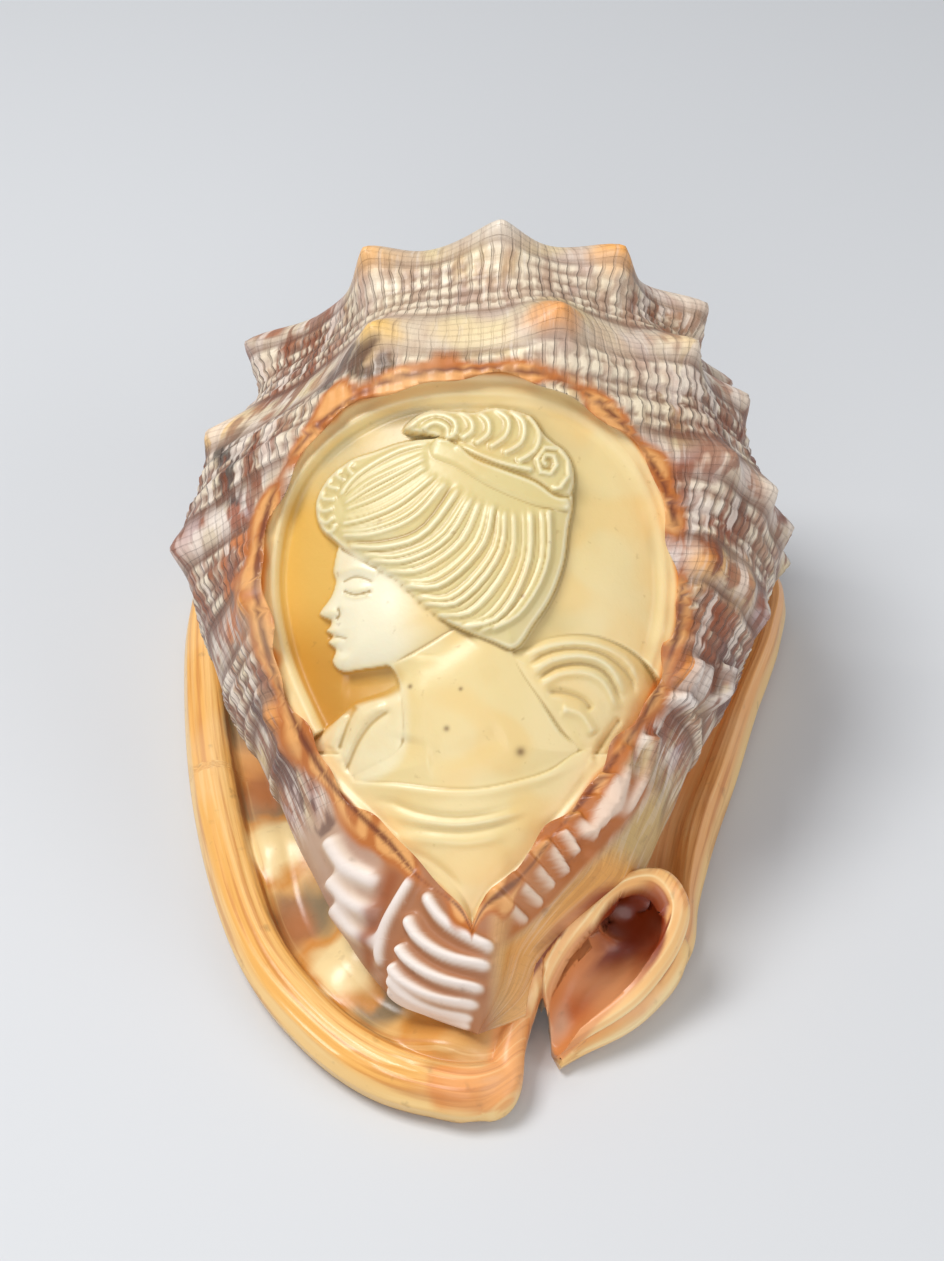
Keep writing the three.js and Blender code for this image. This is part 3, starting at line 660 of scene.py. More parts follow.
# stains seen beside the cut: line right and up over the cameo, half width, colour
STREAKS = [
    ([(-39, -10), (-35, -20), (-30.5, -29.5), (-25, -35.5)], 2.6, "#5f3430"),
    ([(-22, 51), (-18, 48), (-13, 49.5)], 3, "#5d4634"),
    ([(-45, 36), (-43, 30), (-42, 24)], 2.6, "#463c36"),
    ([(41, 22), (43, 12), (43, 3), (39, -6)], 3.6, "#96502a"),
    ([(46, 33), (51, 27), (53, 20)], 2.8, "#84462c"), ([(-42, 20), (-42, 8), (-42, -2)], 2.6, "#c4763c"),
    ([(27, -22), (30, -17), (34, -12)], 2.4, "#a5562a"), ([(44, 0), (46, -8), (43, -14)], 2.2, "#6f4a48"),
]


def bowl_place(p, facing):
    """How far each point belongs to the inside of the spout, and how much painted shade it gets deep in the
    canal, from 0 to 1.
    """
    t = np.linspace(0, 1, 60)
    line = along(BOWL, t)
    far = np.linalg.norm(p[:, None, :] - line[None, :, :3], axis=2) - line[None, :, 3]
    nearest = far.argmin(1)
    near, at = far.min(1), t[nearest]
    towards = line[nearest, :3] - p
    faces_in = (towards * facing).sum(1) / np.maximum(np.linalg.norm(towards, axis=1), 0.1)
    in_canal = smooth(8, 6, near) * smooth(0, 0.3, faces_in) * smooth(0.4, 0.55, at)
    rim_height = SPOUT_TOP[2] + (p[:, 1] - SPOUT_TOP[1]) * SPOUT_FALL
    in_ring = smooth(1.4, 2.6, inward(np.array(SPOUT)[:, :2], p[:, 0], p[:, 1]))
    in_ring = in_ring * smooth(-1, -3, p[:, 2] - rim_height)
    in_bowl = np.maximum(smooth(1.6, 0.7, near), np.maximum(in_canal, in_ring))
    # the second value is the painted shade in the canal and at the top of the bowl's ring
    return in_bowl, np.maximum(smooth(0.46, 0.68, at), in_ring * smooth(-54, -49, p[:, 1]))


def beside(p, line):
    """Level distance from each point to a smooth line."""
    places = along(line, np.linspace(0, 1, 60))
    return np.linalg.norm(p[:, None, :2] - places[None, :, :2], axis=2).min(1)


def back_paint(p, angle, place, row, arc, knob, below, groove):
    """Colours of the worn back, with painted shade in its grooves, and how far growth lines, flanks, cords and
    gaps show on it.
    """
    u, v, _ = cameo_place(p)
    edge = cameo_reach(np.arctan2(u, v) / math.tau) - np.hypot(u, v)
    left = smooth(118, 140, angle)
    flank = np.clip(smooth(62, 40, angle) + left, 0, 1)
    groove_shade_off_knobs = smooth(6, 2, knob)
    paint = coats(
        np.tile(tint("#dccdb8"), (len(p), 1)),
        ("#e6d3a8", 0.8 * smooth(0.45, 0.75, patches(arc / 14, row / 10))),
        ("#bfa6a6", (0.35 + 0.5 * flank) * smooth(0.42, 0.75, patches(arc / 9, row / 12, 4))),
        ("#a05a30", (0.12 + 0.7 * flank) * smooth(0.5, 0.62, patches(arc / 5, row / 7, 8))),
        ("#efe3d6", 0.8 * flank * smooth(0.55, 0.7, patches(arc / 4, row / 6, 12))),
    )
    for line, width, _ in CORDS:
        on = bell(row - line, width * 1.25)
        alternate = patches(arc / 3.2, np.full_like(row, line * 3), 5)
        paint = coats(
            paint,
            ("#ecdfc8", 0.75 * on * smooth(0.38, 0.5, alternate)),
            ("#9a6648", (0.35 + 0.5 * flank) * on * smooth(0.5, 0.32, alternate)),
        )
    # painted shade in the grooves of the back, kept off the knobs and browner on the flanks
    paint = coats(
        paint,
        ("#8a6c58", 0.75 * smooth(0.02, 0.14, groove) * groove_shade_off_knobs),
        ("#744a34", 0.7 * flank * smooth(0.02, 0.12, groove) * groove_shade_off_knobs),
    )
    for line, turned, reach, code in STAINS:
        far = np.hypot(np.radians(angle - turned) * MEAN_RADIUS, row - line) / reach
        paint = coats(paint, (code, 0.85 * smooth(1.2, 0.5, far + 0.5 * patches(arc / 2.5, row / 2.5, line))))
    for line, turned, code in TIPS:
        far = np.hypot(np.radians(angle - turned) * MEAN_RADIUS, row - line)
        paint = coats(paint, (code, 0.95 * smooth(8.5, 2.5, far + 3 * patches(arc / 4, row / 4, turned))))
    # folds and ribs at the front, and the bare slope beside them
    seen = seen_place(below)
    ribs = np.clip(sum(ridge(line, *seen, 1.2, 0.2) for line in FRONT_RIBS), 0, 1)
    folds = np.clip(sum(ridge(line, *seen, width, 0.15) for line, width, _ in FRONT_FOLDS), 0, 1)
    front = smooth(-30, -37, place) * smooth(8, 2, seen[0])
    by_ribs = smooth(-26, -31, place) * smooth(2, 8, seen[0]) * smooth(-11, -8, edge)
    beyond = smooth(-20, -32, place) * smooth(2, 8, seen[0]) * (1 - by_ribs)
    weathered = smooth(-34, -28, place) * smooth(0.4, 0.6, patches(arc / 6, place / 6, 21))
    paint = coats(
        paint,
        ("#d8c3b0", 0.9 * front),
        ("#a56a3e", 0.9 * front * smooth(0.85, 0.3, folds) * smooth(-19, -15, seen[0])),
        ("#a67c66", 0.7 * front * smooth(0.6, 0.1, folds) * smooth(-15, -19, seen[0])),
        ("#b4703c", by_ribs),
        ("#efe3da", smooth(0.5, 1.0, folds)),
        ("#f0dfcd", 0.75 * smooth(0.3, 1.0, ribs) * by_ribs),
        ("#9a5a34", 0.85 * ridge(BROWN_STRIPE, *seen, 1.5)),
        ("#c9ab76", beyond),
        ("#8f7b55", 0.7 * beyond * weathered),
        ("#dfa866", beyond * smooth(-38, -44, place)),
    )
    for line, width, code in STREAKS:
        broken = smooth(0.3, 0.5, patches(arc / 3.5, place / 3.5, width))
        paint = coats(paint, (code, 0.9 * smooth(0.25, 0.7, ridge(line, *seen, width, 0.1)) * broken))
    # the worn edge of the cut
    ragged = (6.5 - 1.5 * left) * patches(arc / 9, place / 9, 2)
    worn = np.abs(edge) + ragged
    rubbed = smooth(6.6, 5.0, worn)
    paint = coats(
        paint,
        ("#b87440", rubbed),
        ("#e5b077", 0.85 * smooth(5.2, 4.0, worn) * smooth(0.35, 0.55, patches(arc / 5, place / 5, 11))),
        ("#6e3519", 0.9 * smooth(1.3, 0.4, np.abs(edge) + 0.15 * ragged)),
    )
    cord = np.clip(sum(bell(row - line, width * 1.1) for line, width, _ in CORDS), 0, 1)
    between = np.clip(sum(bell(row - line, 3) for line, _, _ in CORDS), 0, 1) * smooth(0.65, 0.3, cord)
    lined = (1 - front) * (1 - by_ribs) * (1 - rubbed) * (1 - 0.75 * beyond)
    return paint, lined, flank, cord, between


def enamel_paint(p, groove, in_bowl, deep, from_rim, turn):
    """Colours of lip, shield, spout and underside, with painted shade in the spout's canal and inside the
    mouth, and where the spout's rolled edge is.
    """
    x, y, z = p.T
    on_lip = smooth(20, -6, x) * smooth(70, 60, y)
    bright = 0.9 * smooth(1.6, 0.4, from_rim) + 0.5 * smooth(2.2, 0.6, np.abs(from_rim - 6.5))
    valley = smooth(8.6, 10.6, from_rim + 1.5 * patches(x / 6, y / 6, 3)) * (z > 2.5)
    enamel = coats(
        np.tile(tint("#e8b078"), (len(p), 1)),
        ("#e9b671", on_lip),
        ("#f2cf94", bright),
        ("#dab27a", valley * on_lip),
    )
    for hollow_x, hollow_y, reach in LIP_HOLLOWS:
        far = np.hypot(x - hollow_x, y - hollow_y) / reach + 0.4 * patches(x / 4, y / 4, 9)
        enamel = coats(enamel, ("#8c7a5e", valley * smooth(1.25, 0.7, far)))
    line = smooth(0.55, 0.2, np.abs(from_rim - 9.3 - 0.5 * patches(turn * 30, from_rim, 2)))
    hump = lip_humps(x, y) / 4 + 0.3 * patches(x / 4, y / 4, 6) - 0.15
    # spout: pale edge, orange bowl, and painted shade darkening the canal
    rolled = smooth(17.5, 15.5, np.linalg.norm((p - SPOUT_CENTRE) * (1, 1, 0.8), axis=1)) * (z > 3)
    # underneath: orange enamel, paler teeth along the mouth, and painted shade inside the mouth
    mouth = beside(p, SLIT)
    under = smooth(7, 3, z) * smooth(3, 8, from_rim)
    in_mouth = smooth(9, 6, mouth) * smooth(3, 9, z) * smooth(26, 20, z) * (from_rim > 14)
    enamel = coats(
        enamel,
        ("#a9703c", 0.8 * line * on_lip * (z > 2.5)),
        ("#cf9450", 0.8 * valley * on_lip * smooth(0.15, 0.3, hump)),
        ("#eed8a8", valley * on_lip * smooth(0.35, 0.65, hump) * smooth(-12, -22, x)),
        ("#c9a677", 0.9 * valley * (1 - on_lip) * smooth(-22, -35, y)),
        ("#d3a56c", smooth(7, 4.5, beside(p, SLOPE)) * (z > 5)),
        ("#e3a062", smooth(4.2, 2.6, beside(p, LIP_END)) * (z > 5)),
        ("#eebd84", 0.8 * rolled),
        # painted highlight on the rolled edge's convex crests, painted shade in its hollows
        ("#f6deae", rolled * smooth(0.02, -0.25, groove)),
        ("#b06a3a", rolled * smooth(0.02, 0.14, groove)),
        ("#dc9c6a", in_bowl),
        # painted shade deep in the spout's canal
        ("#8c3d1a", in_bowl * deep),
        ("#d77f45", under),
        ("#f3dcc0", under * smooth(7.5, 4.5, mouth)),
        # painted shade inside the mouth, up its walls towards the dark space
        ("#8a3c1c", in_mouth),
    )
    return enamel, rolled


def shell_paint(p, groove, facing, has_skin):
    """The colour of each point, and the measures that the material needs."""
    angle, place, off, below = whorl_place(p)
    row, knob = row_place(angle, place), knobs(angle, place)
    arc = np.radians(angle) * MEAN_RADIUS
    in_bowl, deep = bowl_place(p, facing)
    skin = has_skin * smooth(4.6, 3.4, np.abs(off - knob - front_relief(below))) * (1 - in_bowl)
    from_rim, turn = rim_place(p)
    paint, lined, flank, cord, between = back_paint(p, angle, place, row, arc, knob, below, groove)
    enamel, rolled = enamel_paint(p, groove, in_bowl, deep, from_rim, turn)
    paint = enamel + (paint - enamel) * skin[:, None]
    ring = (1 - skin) * smooth(13, 9, from_rim) * (1 - in_bowl) * (1 - rolled) * smooth(1, 3, p[:, 2])
    lined = skin * lined
    return paint, skin, lined, flank * lined, cord, between * lined, row, arc, from_rim, turn, ring


MEASURES = ("skin", "lined", "flank", "cord", "between", "row", "arc", "inward", "turn", "ring")


def dress(piece, has_skin):
    groove = hollows(piece, 4)
    paint, *measures = shell_paint(read_points(piece), groove, read_points(piece, "normal"), has_skin)
    keep(piece, "paint", paint)
    for name, values in zip(MEASURES, measures):
        keep(piece, name, values)


class Flow:
    """A number on its way through a material."""

    def __init__(self, maker, socket):
        self.maker, self.socket = maker, socket

    def with_other(self, operation, first, second):
        return self.maker.node("ShaderNodeMath", {"operation": operation}, {0: first, 1: second})

    def __add__(self, other):
        return self.with_other("ADD", self, other)

    def __radd__(self, other):
        return self.with_other("ADD", other, self)

    def __sub__(self, other):
        return self.with_other("SUBTRACT", self, other)

    def __rsub__(self, other):
        return self.with_other("SUBTRACT", other, self)

    def __mul__(self, other):
        return self.with_other("MULTIPLY", self, other)

    def __rmul__(self, other):
        return self.with_other("MULTIPLY", other, self)


class Maker:
    """A material made of nodes."""

    def __init__(self, name):
        self.material = bpy.data.materials.new(name)
        self.material.use_nodes = True
        self.tree = self.material.node_tree
        self.surface = self.tree.nodes["Principled BSDF"]

    def feed(self, socket, value):
        if isinstance(value, Flow):
            self.tree.links.new(value.socket, socket)
        else:
            socket.default_value = value

    def node(self, kind, settings, inputs, output=0):
        made = self.tree.nodes.new(kind)
        for name, value in settings.items():
            setattr(made, name, value)
        for name, value in inputs.items():
            self.feed(made.inputs[name], value)
        return Flow(self, made.outputs[output])

    def kept(self, name, output="Fac"):
        return self.node("ShaderNodeAttribute", {"attribute_name": name}, {}, output)

    def speckle(self, where, scale, detail=3.0):
        return self.node("ShaderNodeTexNoise", {}, {"Vector": where, "Scale": scale, "Detail": detail})

    def place(self, x, y, z=0.0):
        return self.node("ShaderNodeCombineXYZ", {}, {"X": x, "Y": y, "Z": z})

    def window(self, value, low, high):
        """0 below the low value and 1 above the high one."""
        limits = {"Value": value, "From Min": low, "From Max": high}
        return self.node("ShaderNodeMapRange", {"interpolation_type": "SMOOTHSTEP"}, limits)

    def bump(self, height, distance, strength):
        return self.node("ShaderNodeBump", {}, {"Height": height, "Distance": distance, "Strength": strength})

    def wave(self, value):
        return self.node("ShaderNodeMath", {"operation": "SINE"}, {0: value})

    def mixed(self, share, first, second):
        settings = {"data_type": "RGBA"}
        return self.node("ShaderNodeMix", settings, {"Factor": share, 6: first, 7: second}, 2)

    def colour(self, code):
        return (*tint(code), 1)

    def finish(self, **inputs):
        for name, value in inputs.items():
            self.feed(self.surface.inputs[name.replace("_", " ")], value)
        return self.material


def shell_material():
    m = Maker("shell")
    skin, lined, flank, cord, between, row, arc, inward, turn, ring = (m.kept(name) for name in MEASURES)
    here = m.node("ShaderNodeTexCoord", {}, {}, "Object")
    growth = m.speckle(m.place(arc * 0.8, row * 0.1), 1.0, 4.0)
    rings = m.speckle(m.place(inward * 0.9, turn * 1.5), 1.0, 4.0)
    grain = m.speckle(here, 260.0)
    cloud = m.speckle(here, 45.0)
    # brown and white blocks on the flanks, between growth lines
    block = m.speckle(m.place(arc * 0.25, row * 0.07), 1.0, 2.0)
    paint = m.kept("paint", "Color")
    colour = m.mixed(m.window(block, 0.54, 0.6) * flank * 0.75, paint, m.colour("#8a4c2a"))
    colour = m.mixed(m.window(block, 0.45, 0.4) * flank * 0.7, colour, m.colour("#efe2d6"))
    colour = m.mixed(m.window(growth, 0.53, 0.7) * lined * 0.3, colour, m.colour("#8f6c5a"))
    colour = m.mixed(m.window(growth, 0.44, 0.3) * lined * 0.3, colour, m.colour("#f4ebe0"))
    # fine grooves across the cords, and fainter ones along them
    wobble = m.speckle(m.place(arc * 0.12, row * 0.12), 1.0)
    across = m.window(m.wave(arc * 3.1 + wobble * 9), 0.5, 0.98)
    down = m.window(m.wave(row * 4.2 + wobble * 5), 0.7, 0.98)
    notches = lined * (across * (0.22 + 0.7 * cord) + down * (0.2 - 0.2 * cord))
    colour = m.mixed(notches * (0.36 + 0.22 * flank), colour, m.colour("#6c5040"))
    colour = m.mixed(between * (0.5 + 0.35 * flank), colour, m.colour("#7a5846"))
    colour = m.mixed(m.window(rings, 0.5, 0.66) * ring * 0.5, colour, m.colour("#b86e34"))
    colour = m.mixed(m.window(rings, 0.45, 0.34) * ring * 0.35, colour, m.colour("#f8dda8"))
    colour = m.mixed(m.window(grain, 0.62, 0.8) * 0.35, colour, m.colour("#6d4a34"))
    colour = m.mixed(m.window(cloud, 0.5, 0.75) * 0.18, colour, m.colour("#f5dfbd"))
    height = growth * lined * 0.5 + rings * ring * 0.4 + grain * 0.2 - notches * 0.9 - between * 0.8
    rough = 0.34 + 0.16 * skin + 0.15 * m.window(cloud, 0.4, 0.7)
    return m.finish(
        Base_Color=colour, Roughness=rough, Normal=m.bump(height, 0.0007, 0.8),
        Coat_Weight=0.25, Coat_Roughness=0.25, IOR=1.5,
    )


shell_look = shell_material()
for piece, has_skin in ((whorl, 1.0), (base, 0.0)):
    dress(piece, has_skin)
    piece.data.materials.clear()
    piece.data.materials.append(shell_look)

# The cameo: the whitish middle layer of the same shell, laid bare and carved in low relief.
# The field behind the head is cut deepest, where the honey-coloured inner layer starts to show through.
GRID, GRID_HALF = 0.28, 52
BORDER_STEP = 0.9
# outlines and strokes, right and up in the plane of the cameo
FACE = [
    (-22.8, 19.5), (-24.3, 17.0), (-25.1, 14.0), (-25.3, 12.0), (-24.9, 10.2), (-25.7, 7.6), (-27.7, 4.9),
    (-27.4, 3.9), (-25.7, 3.1), (-25.8, 2.2), (-26.5, 1.3), (-25.4, 0.3), (-26.1, -0.9), (-24.8, -2.2),
    (-25.3, -4.2), (-24.4, -5.7), (-22.6, -6.3), (-19.4, -5.9), (-15.0, -5.2), (-11, -3.5), (-5, 0), (0, 4),
    (-4, 12), (-12, 18), (-18, 21),
]
NECK = [
    (-19, -2.7), (-14.8, -5.5), (-13.2, -8.4), (-12.4, -12), (-12.2, -17), (-13.4, -20.5), (-22.8, -26),
    (-12.9, -27), (-5.7, -28), (1.4, -28), (8.6, -26.5), (14, -24.6), (19, -20.6), (15.8, -17),
    (12.2, -11.6), (8.6, -6.3), (5, 1), (-5.7, 7.2), (-14.7, 7.2),
]
DRESS = [
    (-26.2, -23.7), (-22.8, -25.6), (-12.9, -26.3), (-5.7, -27.1), (1.4, -27.1), (8.6, -25.6), (14, -23.8),
    (19, -20.6), (25, -20), (30, -26), (20, -38), (10, -48), (0.5, -58), (-8, -50), (-18, -40), (-28, -30),
]
LEFT_SLEEVE = [
    (-11.5, -8.6), (-15.6, -10), (-21, -11.8), (-24, -14.3), (-26.9, -16.5), (-29.7, -18.8), (-29.6, -22.4),
    (-26.6, -26.4), (-20.1, -27.2), (-12.9, -23.3), (-10.8, -17),
]
RIGHT_SLEEVE = [
    (5, -2.7), (9.5, -2.2), (13.1, -0.4), (17.9, 0.5), (22.9, 0.2), (28, -1.8), (31.9, -4.8), (34.4, -9),
    (32.8, -13.4), (29.4, -19.8), (24.9, -25.2), (18.5, -22.1), (14.9, -16.1), (9.4, -9.9),
]
SLEEVE_FOLDS = [
    [(8.6, -3.9), (13.1, -1.8), (18.5, -0.9), (23.8, -1.6), (28.3, -3.9), (31, -9)],
    [(10.4, -6.8), (14.3, -4.3), (19.7, -3.4), (24.4, -5), (28, -10.8)],
    [(11.8, -9), (15.8, -6.8), (20.8, -6.6), (24.4, -9), (26.2, -13.6)],
    [(15.8, -12.9), (19.4, -14), (21.9, -17.6)],
    [(-15.4, -11.8), (-19.4, -14.3), (-21.9, -18.3), (-23.7, -22.9)],
    [(-22.8, -13.6), (-24.4, -17), (-25.8, -20.1)],
]
SLEEVE_GROOVES = [
    [(9.1, -5.7), (13.6, -3), (19, -2.2), (24, -3.4), (28.3, -6.8), (29.7, -10.8)],
    [(11.1, -8.2), (15.1, -5.6), (20.3, -5), (24.4, -7), (27.1, -12.2)],
    [(13.1, -10), (16.7, -10.2), (19.7, -11.3), (21.5, -13.3)], [(21.5, -22.4), (24, -18.3), (26.9, -14.3)],
    [(-14.2, -12.9), (-17.9, -15.6), (-20.6, -19.4), (-22.8, -24.7)],
    [(-20.8, -12.2), (-22.4, -15.8), (-24, -20.6)],
]
DRESS_GROOVES = [
    [(-20.1, -29.7), (-14.7, -29.4), (-9.3, -31.2), (-3, -32.1), (3.2, -31.4), (9, -29.7)],
    [(-13.6, -33.3), (-7.5, -34.2), (-1.3, -34.6), (5, -33.5), (10.4, -31.9)],
    [(-12, -37.3), (-6.6, -40.5), (-1.4, -45.2)],
]
DRESS_FOLDS = [
    [(-22.8, -26.2), (-12.9, -26.9), (-5.7, -27.8), (1.4, -27.8), (8.6, -26.3), (14, -24.6), (18.8, -21.5)],
    [(-17.4, -30.8), (-10.2, -32.8), (-3, -33.5), (4.1, -32.6), (10.4, -30.8)],
    [(-16.5, -35.5), (-7.5, -36.2), (-0.4, -36.6), (6.8, -35.1)],
]
HAIR = [
    (-21.5, 33.2), (-24, 31.7), (-26.2, 29.9), (-27.8, 27.6), (-28.7, 25.1), (-28.5, 22.2), (-27.4, 19.7),
    (-25.4, 17.9), (-22.8, 15.8), (-17.9, 12.5), (-13.6, 10), (-10.8, 7.2), (-7.9, 4.7), (-4.3, 2.3),
    (-0.4, 0.5), (3.6, -1.1), (7.7, -2.3), (11.1, 2.2), (14.3, 7.2), (16.5, 13.4), (17.4, 19.7),
    (18.3, 25.1), (16.8, 28.7), (12.2, 30.5), (5, 33.2), (-3, 36.2), (-7.5, 36.4), (-12.9, 35.8),
    (-17.9, 34.2),
]
# locks of the hair from the brow to the band, and from the temple round the ear to the bun
HAIR_TOP = [
    [(-24.2, 25.4), (-21.9, 28.9), (-17.4, 32.1), (-12, 34.6), (-7.5, 35.3)],
    [(-23.8, 24.4), (-19.2, 28), (-13.8, 30.6), (-7.9, 33.3)],
    [(-23.5, 23.7), (-18.3, 26.2), (-12.9, 29), (-7.9, 31.9)],
    [(-23.5, 22.6), (-18.3, 23.7), (-12.9, 26.5), (-7.5, 30.5)],
    [(-24, 20.6), (-19.2, 21.5), (-12.9, 24.2), (-6.1, 29.7)],
    [(-24.4, 19.4), (-18.6, 19.4), (-11.1, 22.4), (-4.8, 29)],
    [(-24, 17.9), (-17.4, 17.7), (-9.3, 20.8), (-3.6, 28.3)],
]
HAIR_SIDE = [
    [(-22.8, 16.8), (-16.1, 16.1), (-8.4, 18.6), (-1.8, 27.6)],
    [(-20.4, 15.1), (-13.8, 14.3), (-5.7, 17.9), (0, 26.5)],
    [(-17.6, 12.9), (-11.1, 12.5), (-3.6, 16.8), (1.1, 25.6)],
    [(-15.1, 11.1), (-8.4, 10.8), (-0.7, 16.5), (2.5, 25.1)],
    [(-12.9, 9.3), (-5.7, 9), (1.8, 16.1), (3.8, 24.6)],
    [(-10.8, 7.2), (-3.6, 6.8), (3.9, 15.1), (5, 23.7)], [(-8.6, 5), (-1.4, 5), (5.9, 14), (6.5, 23.3)],
    [(-5.7, 2.9), (1.4, 3.6), (7.9, 13.3), (8.2, 23.3)], [(-3, 1.4), (4.7, 3.2), (10, 12.9), (10.4, 23.7)],
    [(0.4, 0.5), (7.2, 3.6), (12.4, 12.9), (12.5, 24)], [(4.7, 1.1), (10, 4.7), (14.5, 13.4), (14.9, 24.6)],
]
BAND = [
    (-6.5, 35.8), (-1.8, 34.8), (2.2, 32.3), (6.8, 30.5), (12.2, 28.7), (16.8, 25.8), (17.6, 22.9),
    (13.1, 22.9), (7.7, 24.7), (2.3, 27.2), (-3, 30.5), (-7.5, 32.6),
]
BUN = [
    (-12.5, 38), (-10.4, 40.7), (-7.2, 41.9), (-2.9, 41.6), (0.4, 41.4), (3.6, 42.3), (7.2, 41.9),
    (10.8, 40.7), (12.9, 37.6), (14.9, 35.7), (17, 34.1), (18.3, 31.5), (18.6, 28.3), (17.6, 25.6),
    (15.1, 25.4), (11.3, 28), (5.9, 30.1), (0.5, 32.3), (-3.6, 35.5), (-7.9, 36.9),
]
BUN_CURLS = [
    [(-11.8, 37.8), (-9.7, 40), (-6.1, 40.9), (-3.2, 39.4), (-3.2, 36.9), (-5, 35.5)],
    [(-9.3, 37.6), (-6.8, 39.2), (-4.5, 38), (-5, 36), (-6.8, 36.2)],
    [(-2.5, 41.6), (-0.4, 39.8), (0, 37.6), (-2.2, 35.8)],
    [(1.1, 41.2), (2.9, 39.4), (2.9, 36.9), (0.4, 34.8)],
    [(3.9, 42.1), (6.5, 39.8), (6.1, 36.6), (2.9, 34.1)], [(6.8, 41.8), (9.3, 39.4), (9, 35.5), (5.4, 33)],
    [(10, 40.9), (12.2, 38), (11.5, 34.1), (7.9, 31.5)], [(-3, 35.1), (1.1, 33), (5.9, 31.2), (11.3, 30.1)],
]
RINGLET = [
    (13.8, 30.8), (12.7, 31.9), (13.4, 33.2), (15.1, 32.6), (15.2, 30.6), (13.4, 29.2), (11.8, 30.8),
    (12.4, 33.7), (14.9, 34.9), (17.2, 33), (17.7, 29.7), (16.1, 27.1), (13.6, 26.5),
]
BROW_CURLS = [
    [(-21.5, 32.6), (-22.6, 31.2), (-21.5, 29.7)], [(-24, 31.5), (-24.7, 29.9), (-22.9, 28.7)],
    [(-26, 29.7), (-26.2, 28), (-24, 27.2)], [(-27.6, 27.4), (-27.1, 25.6), (-24.6, 25.4)],
    [(-28.5, 24.7), (-27.2, 23.3), (-25.1, 23.7)], [(-28.1, 21.9), (-26.5, 21.1), (-25.1, 22.2)],
    [(-26.9, 19.2), (-25.4, 19.5), (-24.9, 20.8)],
]


def laid_on(depth, outline, u, v, at, drop, roundness):
    """Depths below the uncarved back, with a form laid over them whose edge drops by some mm."""
    far = inward(outline, u, v)
    own = at + drop * (1 - np.clip(far / roundness, 0, 1)) ** 2
    return depth + (own - depth) * smooth(-0.2, 0.3, far)


def strands(guides, u, v, between, width):
    """Fine ridges between neighbouring guide strokes."""
    height = np.zeros_like(u)
    for number, (a, b) in enumerate(zip(guides, guides[1:])):
        first, second = along(a, np.linspace(0, 1, 8)), along(b, np.linspace(0, 1, 8))
        for k in range(between):
            tall = 1 - 0.65 * ((k * 3 + number) % 4) / 3
            strand = first + (second - first) * k / between
            height = np.maximum(height, tall * ridge(strand, u, v, width, 0.12))
    return height


def spot(u, v, x, y, across, tall):
    return np.exp(-(((u - x) / across) ** 2) - ((v - y) / tall) ** 2)


def ridges(lines, u, v, width, taper=0.15):
    return sum(ridge(line, u, v, width, taper) for line in lines)


# brow, lids and lashes of the closed eye, wing of the nose and mouth: how deep, half width, taper, line
FACE_STROKES = [
    (-0.35, 0.8, 0.15, [(-24.4, 11.6), (-20.8, 12.5), (-16.8, 11.2)]),
    (0.5, 0.4, 0.15, [(-23.4, 8.5), (-21, 7.6), (-17.8, 8.2)]),
    (0.25, 0.35, 0.15, [(-23.6, 9.9), (-20.8, 10.9), (-17.6, 9.7)]),
    (-0.3, 0.35, 0.15, [(-23.2, 8.0), (-21, 7.1), (-18.0, 7.7)]),
    (0.45, 0.4, 0.15, [(-24.3, 5.6), (-23.9, 4.2), (-24.6, 3.3)]),
    (0.35, 0.4, 0.1, [(-26.2, 0.2), (-24.4, 0.2), (-22.4, -0.3)]),
]
# socket and ball of the eye, cheek, nose, lips and chin: how deep, place, reach across and up
FACE_SPOTS = [
    (0.5, -20.8, 9.6, 3.2, 2.2), (-0.55, -20.7, 8.9, 2.3, 1.3), (-0.5, -15, 2.5, 4.5, 4.5),
    (-0.5, -25.6, 4.4, 1.1, 0.9), (-0.3, -25.0, 1.2, 1.0, 0.7), (-0.35, -24.9, -0.9, 1.1, 0.7),
    (-0.3, -23.6, -4.2, 1.5, 1.3), (0.25, -23.9, -2.4, 1.2, 0.6),
]


